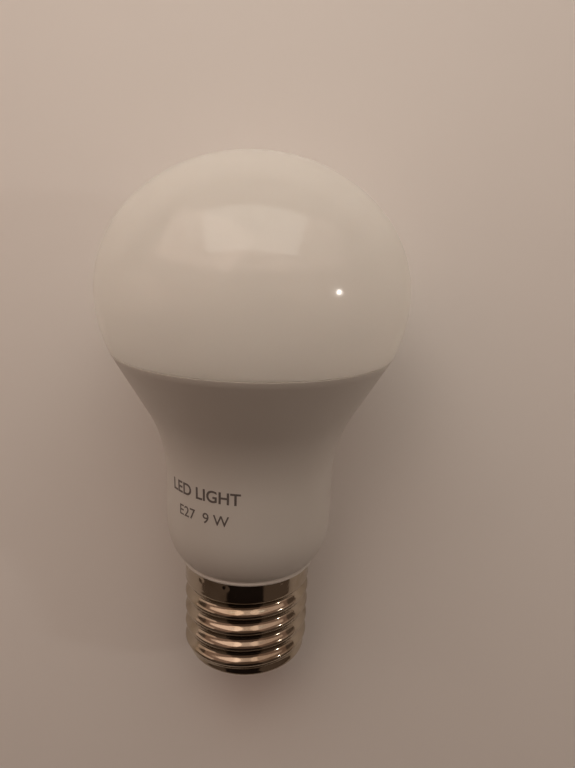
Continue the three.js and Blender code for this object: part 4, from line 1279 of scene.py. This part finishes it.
# ---------------------------------------------------------------- filter choke
# A ferrite drum standing along the lamp's axis, with one layer of enamelled copper wire wound tightly in
# its waist on a few layers that can't be seen.
CHOKE_PLACE = (-6.4 * MM, -3.4 * MM, 49.4 * MM)
CHOKE_R = 3.5 * MM
CHOKE_WAIST_R = 1.6 * MM
CHOKE_HEIGHT = 7 * MM
CHOKE_RIM = 1.2 * MM
CHOKE_WIRE_R = 0.25 * MM
CHOKE_TURNS = 7
CHOKE_COIL_R = 2.78 * MM

choke_profile = [
    (0.0, 0.0),
    *bow((CHOKE_R - 0.25 * MM, 0.25 * MM), (0.25 * MM, 0.25 * MM), -90, 0, 4),
    *bow((CHOKE_R - 0.15 * MM, CHOKE_RIM - 0.15 * MM), (0.15 * MM, 0.15 * MM), 0, 90, 3),
    (CHOKE_WAIST_R, CHOKE_RIM),
    (CHOKE_WAIST_R, CHOKE_HEIGHT - CHOKE_RIM),
    *bow((CHOKE_R - 0.15 * MM, CHOKE_HEIGHT - CHOKE_RIM + 0.15 * MM), (0.15 * MM, 0.15 * MM), -90, 0, 3),
    *bow((CHOKE_R - 0.25 * MM, CHOKE_HEIGHT - 0.25 * MM), (0.25 * MM, 0.25 * MM), 0, 90, 4),
    (0.0, CHOKE_HEIGHT),
]
choke = spin_profile("drum_core", choke_profile, 64)
smooth_below(choke, 35)
choke.data.materials.append(ferrite_grey)
shift(choke, CHOKE_PLACE)
stand_for(choke, "filter_choke_core")

coil_bottom_z = CHOKE_RIM + CHOKE_WIRE_R + 0.12 * MM
coil_rise = CHOKE_HEIGHT - 2 * coil_bottom_z
enamelled = worn_metal("enamelled_copper", (0.62, 0.27, 0.10), (0.50, 0.19, 0.06), 0.22, 0.34, 0.01 * MM)
deselect_all()
bpy.ops.mesh.primitive_circle_add(
    vertices=12,
    radius=CHOKE_WIRE_R,
    location=(CHOKE_COIL_R, 0, coil_bottom_z),
    rotation=(math.radians(90), 0, 0),
)
coil = bpy.context.object
bpy.ops.object.transform_apply(location=True, rotation=True, scale=True)
coil_turns = coil.modifiers.new("turns", "SCREW")
coil_turns.angle = 2 * math.pi * CHOKE_TURNS
coil_turns.screw_offset = coil_rise
coil_turns.steps = 36 * CHOKE_TURNS
coil_turns.render_steps = coil_turns.steps
bpy.ops.object.modifier_apply(modifier=coil_turns.name)
bpy.ops.object.mode_set(mode="EDIT")
bpy.ops.mesh.select_all(action="SELECT")
bpy.ops.mesh.fill_holes(sides=12)
bpy.ops.mesh.normals_make_consistent(inside=False)
bpy.ops.object.mode_set(mode="OBJECT")
smooth_below(coil, 60)
coil_core_r = CHOKE_COIL_R - 0.12 * MM
coil_core = spin_profile("coil_core", [
    (CHOKE_WAIST_R + 0.1 * MM, CHOKE_RIM + 0.15 * MM),
    (coil_core_r, CHOKE_RIM + 0.15 * MM),
    (coil_core_r, CHOKE_HEIGHT - CHOKE_RIM - 0.15 * MM),
    (CHOKE_WAIST_R + 0.1 * MM, CHOKE_HEIGHT - CHOKE_RIM - 0.15 * MM),
], 48)
coil = merge("copper_coil", [coil, coil_core])
coil.data.materials.append(enamelled)
shift(coil, CHOKE_PLACE)
stand_for(coil, "filter_choke_winding")

# ---------------------------------------------------------------- surface-mounted parts
# The bridge rectifier, the control chip, the power switch and the output diode on the back of the driver
# board: black epoxy packages with a dimple at pin one and bent, tinned leads along both sides.
BOARD_BACK_Y = 3.3 * MM
LEAD_FOOT = 1.0 * MM
LEAD_T = 0.22 * MM
LEAD_W = 0.5 * MM
LEAD_LIFT = 0.06 * MM
LEAD_BEND = 0.22 * MM
LEAD_HIDDEN = 0.2 * MM
BODY_LIFT = 0.2 * MM

epoxy_black = moulded(
    "black_epoxy", (0.022, 0.022, 0.023), (0.034, 0.033, 0.033), 3400.0, 0.42, 0.6, 0.04 * MM
)


def gull_wing(side, edge_x, body_y, z):
    """A lead that leaves the body's side, bends down to the board and runs out along it."""
    foot_y = BOARD_BACK_Y + LEAD_LIFT + LEAD_T / 2
    bend_x = edge_x + side * LEAD_BEND
    foot_x = bend_x + side * LEAD_FOOT
    points = [(edge_x - side * LEAD_HIDDEN, body_y), (bend_x, body_y), (bend_x, foot_y), (foot_x, foot_y)]
    stretches = []
    for (x0, y0), (x1, y1) in zip(points, points[1:]):
        middle = ((x0 + x1) / 2, (y0 + y1) / 2, z)
        size = (abs(x1 - x0) + LEAD_T, abs(y1 - y0) + LEAD_T, LEAD_W)
        stretches.append(block("lead", middle, size, 0.05 * MM))
    lead = merge("lead", stretches)
    lead.data.materials.append(tin)
    return lead


dimple_profile = [(0.0, -0.1 * MM), (0.35 * MM, -0.1 * MM), (0.42 * MM, 0.1 * MM), (0.0, 0.1 * MM)]


def smd_package(name, node, width, height, depth, x, z, leads_per_side, lead_pitch):
    body_y = BOARD_BACK_Y + BODY_LIFT + depth / 2
    body = block(name, (x, body_y, z), (width, depth, height), 0.12 * MM)
    dimple_place = (x - width / 2 + 0.8 * MM, body_y + depth / 2, z + height / 2 - 0.8 * MM)
    dimple = spin_profile("dimple", dimple_profile, 24)
    lay_along_y(dimple, dimple_place)
    cut_away(body, dimple)
    smooth_below(body, 30)
    body.data.materials.append(epoxy_black)
    leads = []
    for side in (-1, 1):
        for number in range(leads_per_side):
            lead_z = z + (number - (leads_per_side - 1) / 2) * lead_pitch
            leads.append(gull_wing(side, x + side * width / 2, body_y, lead_z))
    body = merge(name, [body, *leads])
    stand_for(body, node)


smd_package("rectifier_package", "bridge_rectifier", 4.0 * MM, 4.8 * MM, 2.4 * MM, 0, 23 * MM, 2, PIN_PITCH)
smd_package(
    "control_package", "driver_chip", 3.9 * MM, 4.9 * MM, 1.5 * MM, 4.6 * MM, 47 * MM, 4, PIN_PITCH / 2
)
smd_package("switch_package", "power_switch", 6.0 * MM, 6.5 * MM, 2.2 * MM, -4.4 * MM, 39 * MM, 2, 2.3 * MM)
smd_package("diode_package", "output_diode", 3.6 * MM, 4.6 * MM, 2.2 * MM, -4.6 * MM, 53.5 * MM, 1, 1 * MM)

# ---------------------------------------------------------------- power and radio headers
# The right-angle header on the back of the driver board, whose two square tinned pins rise through the
# LED board, and the small black header that carries the radio board. The pins' edges are rounded.
PIN_W = 0.64 * MM
HEADER_Z = 59.5 * MM
HEADER_SIDE = 2.5 * MM
PIN_TOP_Z = BOARD_TOP_Z + 2.6 * MM

header_y = BOARD_BACK_Y + 0.05 * MM + HEADER_SIDE / 2
header = block("pin_header", (0, header_y, HEADER_Z), (2 * PIN_PITCH, HEADER_SIDE, HEADER_SIDE), 0.2 * MM)
header.data.materials.append(bobbin_black)
pins = []
for side in (-1, 1):
    pin_x = side * PIN_PITCH / 2
    outward = (pin_x, (POWER_Y + PIN_W / 2 + header_y) / 2, HEADER_Z)
    pins.append(block("pin", outward, (PIN_W, POWER_Y + PIN_W / 2 - header_y, PIN_W), 0.08 * MM))
    upright = (pin_x, POWER_Y, (PIN_TOP_Z + HEADER_Z - PIN_W / 2) / 2)
    pins.append(block("pin", upright, (PIN_W, PIN_W, PIN_TOP_Z - HEADER_Z + PIN_W / 2), 0.08 * MM))
for pin in pins:
    pin.data.materials.append(tin)
header = merge("pin_header", [header, *pins])
stand_for(header, "power_header")



def cad_box(node):
    """The low and high corners, the middle and the size of a CAD node's box."""
    low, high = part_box(node)
    middle = [(b + a) / 2 for a, b in zip(low, high)]
    size = [b - a for a, b in zip(low, high)]
    return low, high, middle, size


_, _, radio_header_middle, radio_header_size = cad_box("radio_header")
radio_header = block("board_header", radio_header_middle, radio_header_size, 0.25 * MM)
radio_header.data.materials.append(bobbin_black)
stand_for(radio_header, "radio_header")

# ---------------------------------------------------------------- radio parts
# On the front of the radio board sit the radio chip in its black package, a crystal in a welded steel
# can, and above them the antenna, a copper track that runs to and fro across the board's top.
RADIO_FRONT_Y = -3.0 * MM
ANTENNA_T = 0.05 * MM
ANTENNA_W = 0.5 * MM
ANTENNA_BOTTOM_Z = 79.6 * MM
ANTENNA_RISE = 2.4 * MM
ANTENNA_STEP = 1.3 * MM
ANTENNA_FOLDS = 8
ANTENNA_EDGE = 0.015 * MM

chip_low, chip_high, chip_middle, chip_size = cad_box("radio_chip")
radio_chip = block("radio_package", chip_middle, chip_size, 0.1 * MM)
dot_profile = [(0.0, -0.1 * MM), (0.3 * MM, -0.1 * MM), (0.3 * MM, 0.1 * MM), (0.0, 0.1 * MM)]
chip_dot = spin_profile("dot", dot_profile, 24)
lay_along_y(chip_dot, (chip_low[0] + 0.8 * MM, chip_low[1], chip_high[2] - 0.8 * MM))
cut_away(radio_chip, chip_dot)
smooth_below(radio_chip, 30)
radio_chip.data.materials.append(epoxy_black)
stand_for(radio_chip, "radio_chip")

_, can_high, can_middle, can_size = cad_box("radio_crystal")
flange_middle = (can_middle[0], can_high[1] - 0.12 * MM, can_middle[2])
flange = block("flange", flange_middle, (can_size[0], 0.22 * MM, can_size[2]), 0.06 * MM)
lid_size = (can_size[0] - 0.4 * MM, can_size[1] - 0.1 * MM, can_size[2] - 0.4 * MM)
lid = block("lid", (can_middle[0], can_middle[1] - 0.05 * MM, can_middle[2]), lid_size, 0.2 * MM)
crystal = merge("crystal_can", [flange, lid])
smooth_below(crystal, 35)
crystal.data.materials.append(tin)
stand_for(crystal, "radio_crystal")

antenna_y = RADIO_FRONT_Y - ANTENNA_T / 2 - 0.01 * MM
antenna_left_x = -ANTENNA_STEP * ANTENNA_FOLDS / 2
antenna_parts = []
for fold in range(ANTENNA_FOLDS + 1):
    fold_x = antenna_left_x + fold * ANTENNA_STEP
    upright_size = (ANTENNA_W, ANTENNA_T, ANTENNA_RISE + ANTENNA_W)
    upright_middle = (fold_x, antenna_y, ANTENNA_BOTTOM_Z + ANTENNA_RISE / 2)
    antenna_parts.append(block("track", upright_middle, upright_size, ANTENNA_EDGE))
    if fold < ANTENNA_FOLDS:
        end_z = ANTENNA_BOTTOM_Z + (ANTENNA_RISE if fold % 2 == 0 else 0)
        level_size = (ANTENNA_STEP + ANTENNA_W, ANTENNA_T, ANTENNA_W)
        level_middle = (fold_x + ANTENNA_STEP / 2, antenna_y, end_z)
        antenna_parts.append(block("track", level_middle, level_size, ANTENNA_EDGE))
antenna = merge("antenna_track", antenna_parts)
antenna.data.materials.append(enamelled)
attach(antenna, "root")

# ---------------------------------------------------------------- leads
# Two stranded leads in plastic insulation: the live one runs from the driver board into the contact's
# hollow pin, where it is crimped, and the neutral one is pinched between the housing's spigot and the
# screw shell.
live_route = [
    (1.6, 2.5, 11.95), (1.6, 2.48, 11.4), (1.55, 2.3, 10.8), (1.1, 1.7, 10.1),
    (0.6, 1.0, 9.4), (0.15, 0.3, 8.7), (0, 0, 8.0), (0, 0, 6.2), (0, 0, 4.3),
]
neutral_route = [
    (-4, 2.5, 11.95), (-4.05, 2.48, 11.3), (-4.3, 2.4, 10.4), (-5.1, 2.2, 9.2), (-6.4, 1.8, 8.4),
    (-7.9, 1.5, 8.05), (-9.4, 1.2, 7.95), (-11.2, 0.8, 7.95),
]
RED = ((0.42, 0.035, 0.025), (0.33, 0.025, 0.018))
BLUE = ((0.03, 0.09, 0.34), (0.02, 0.07, 0.26))
lead_kinds = [  # name, node, slot, route, radius, light and dark colour
    ("live_wire", "live_lead", "red_wire", live_route, 0.58 * MM, *RED),
    ("neutral_wire", "neutral_lead", "blue_wire", neutral_route, 0.48 * MM, *BLUE),
]
for lead_name, node, slot, route, radius, light, shade in lead_kinds:
    points = [[value * MM for value in point] for point in route]
    insulation = tube(lead_name, points, radius, "NURBS")
    plastic = moulded(f"{slot}_insulation", light, shade, 2200.0, 0.3, 0.45, 0.02 * MM)
    insulation.data.materials.append(plastic)
    stand_for(insulation, node)
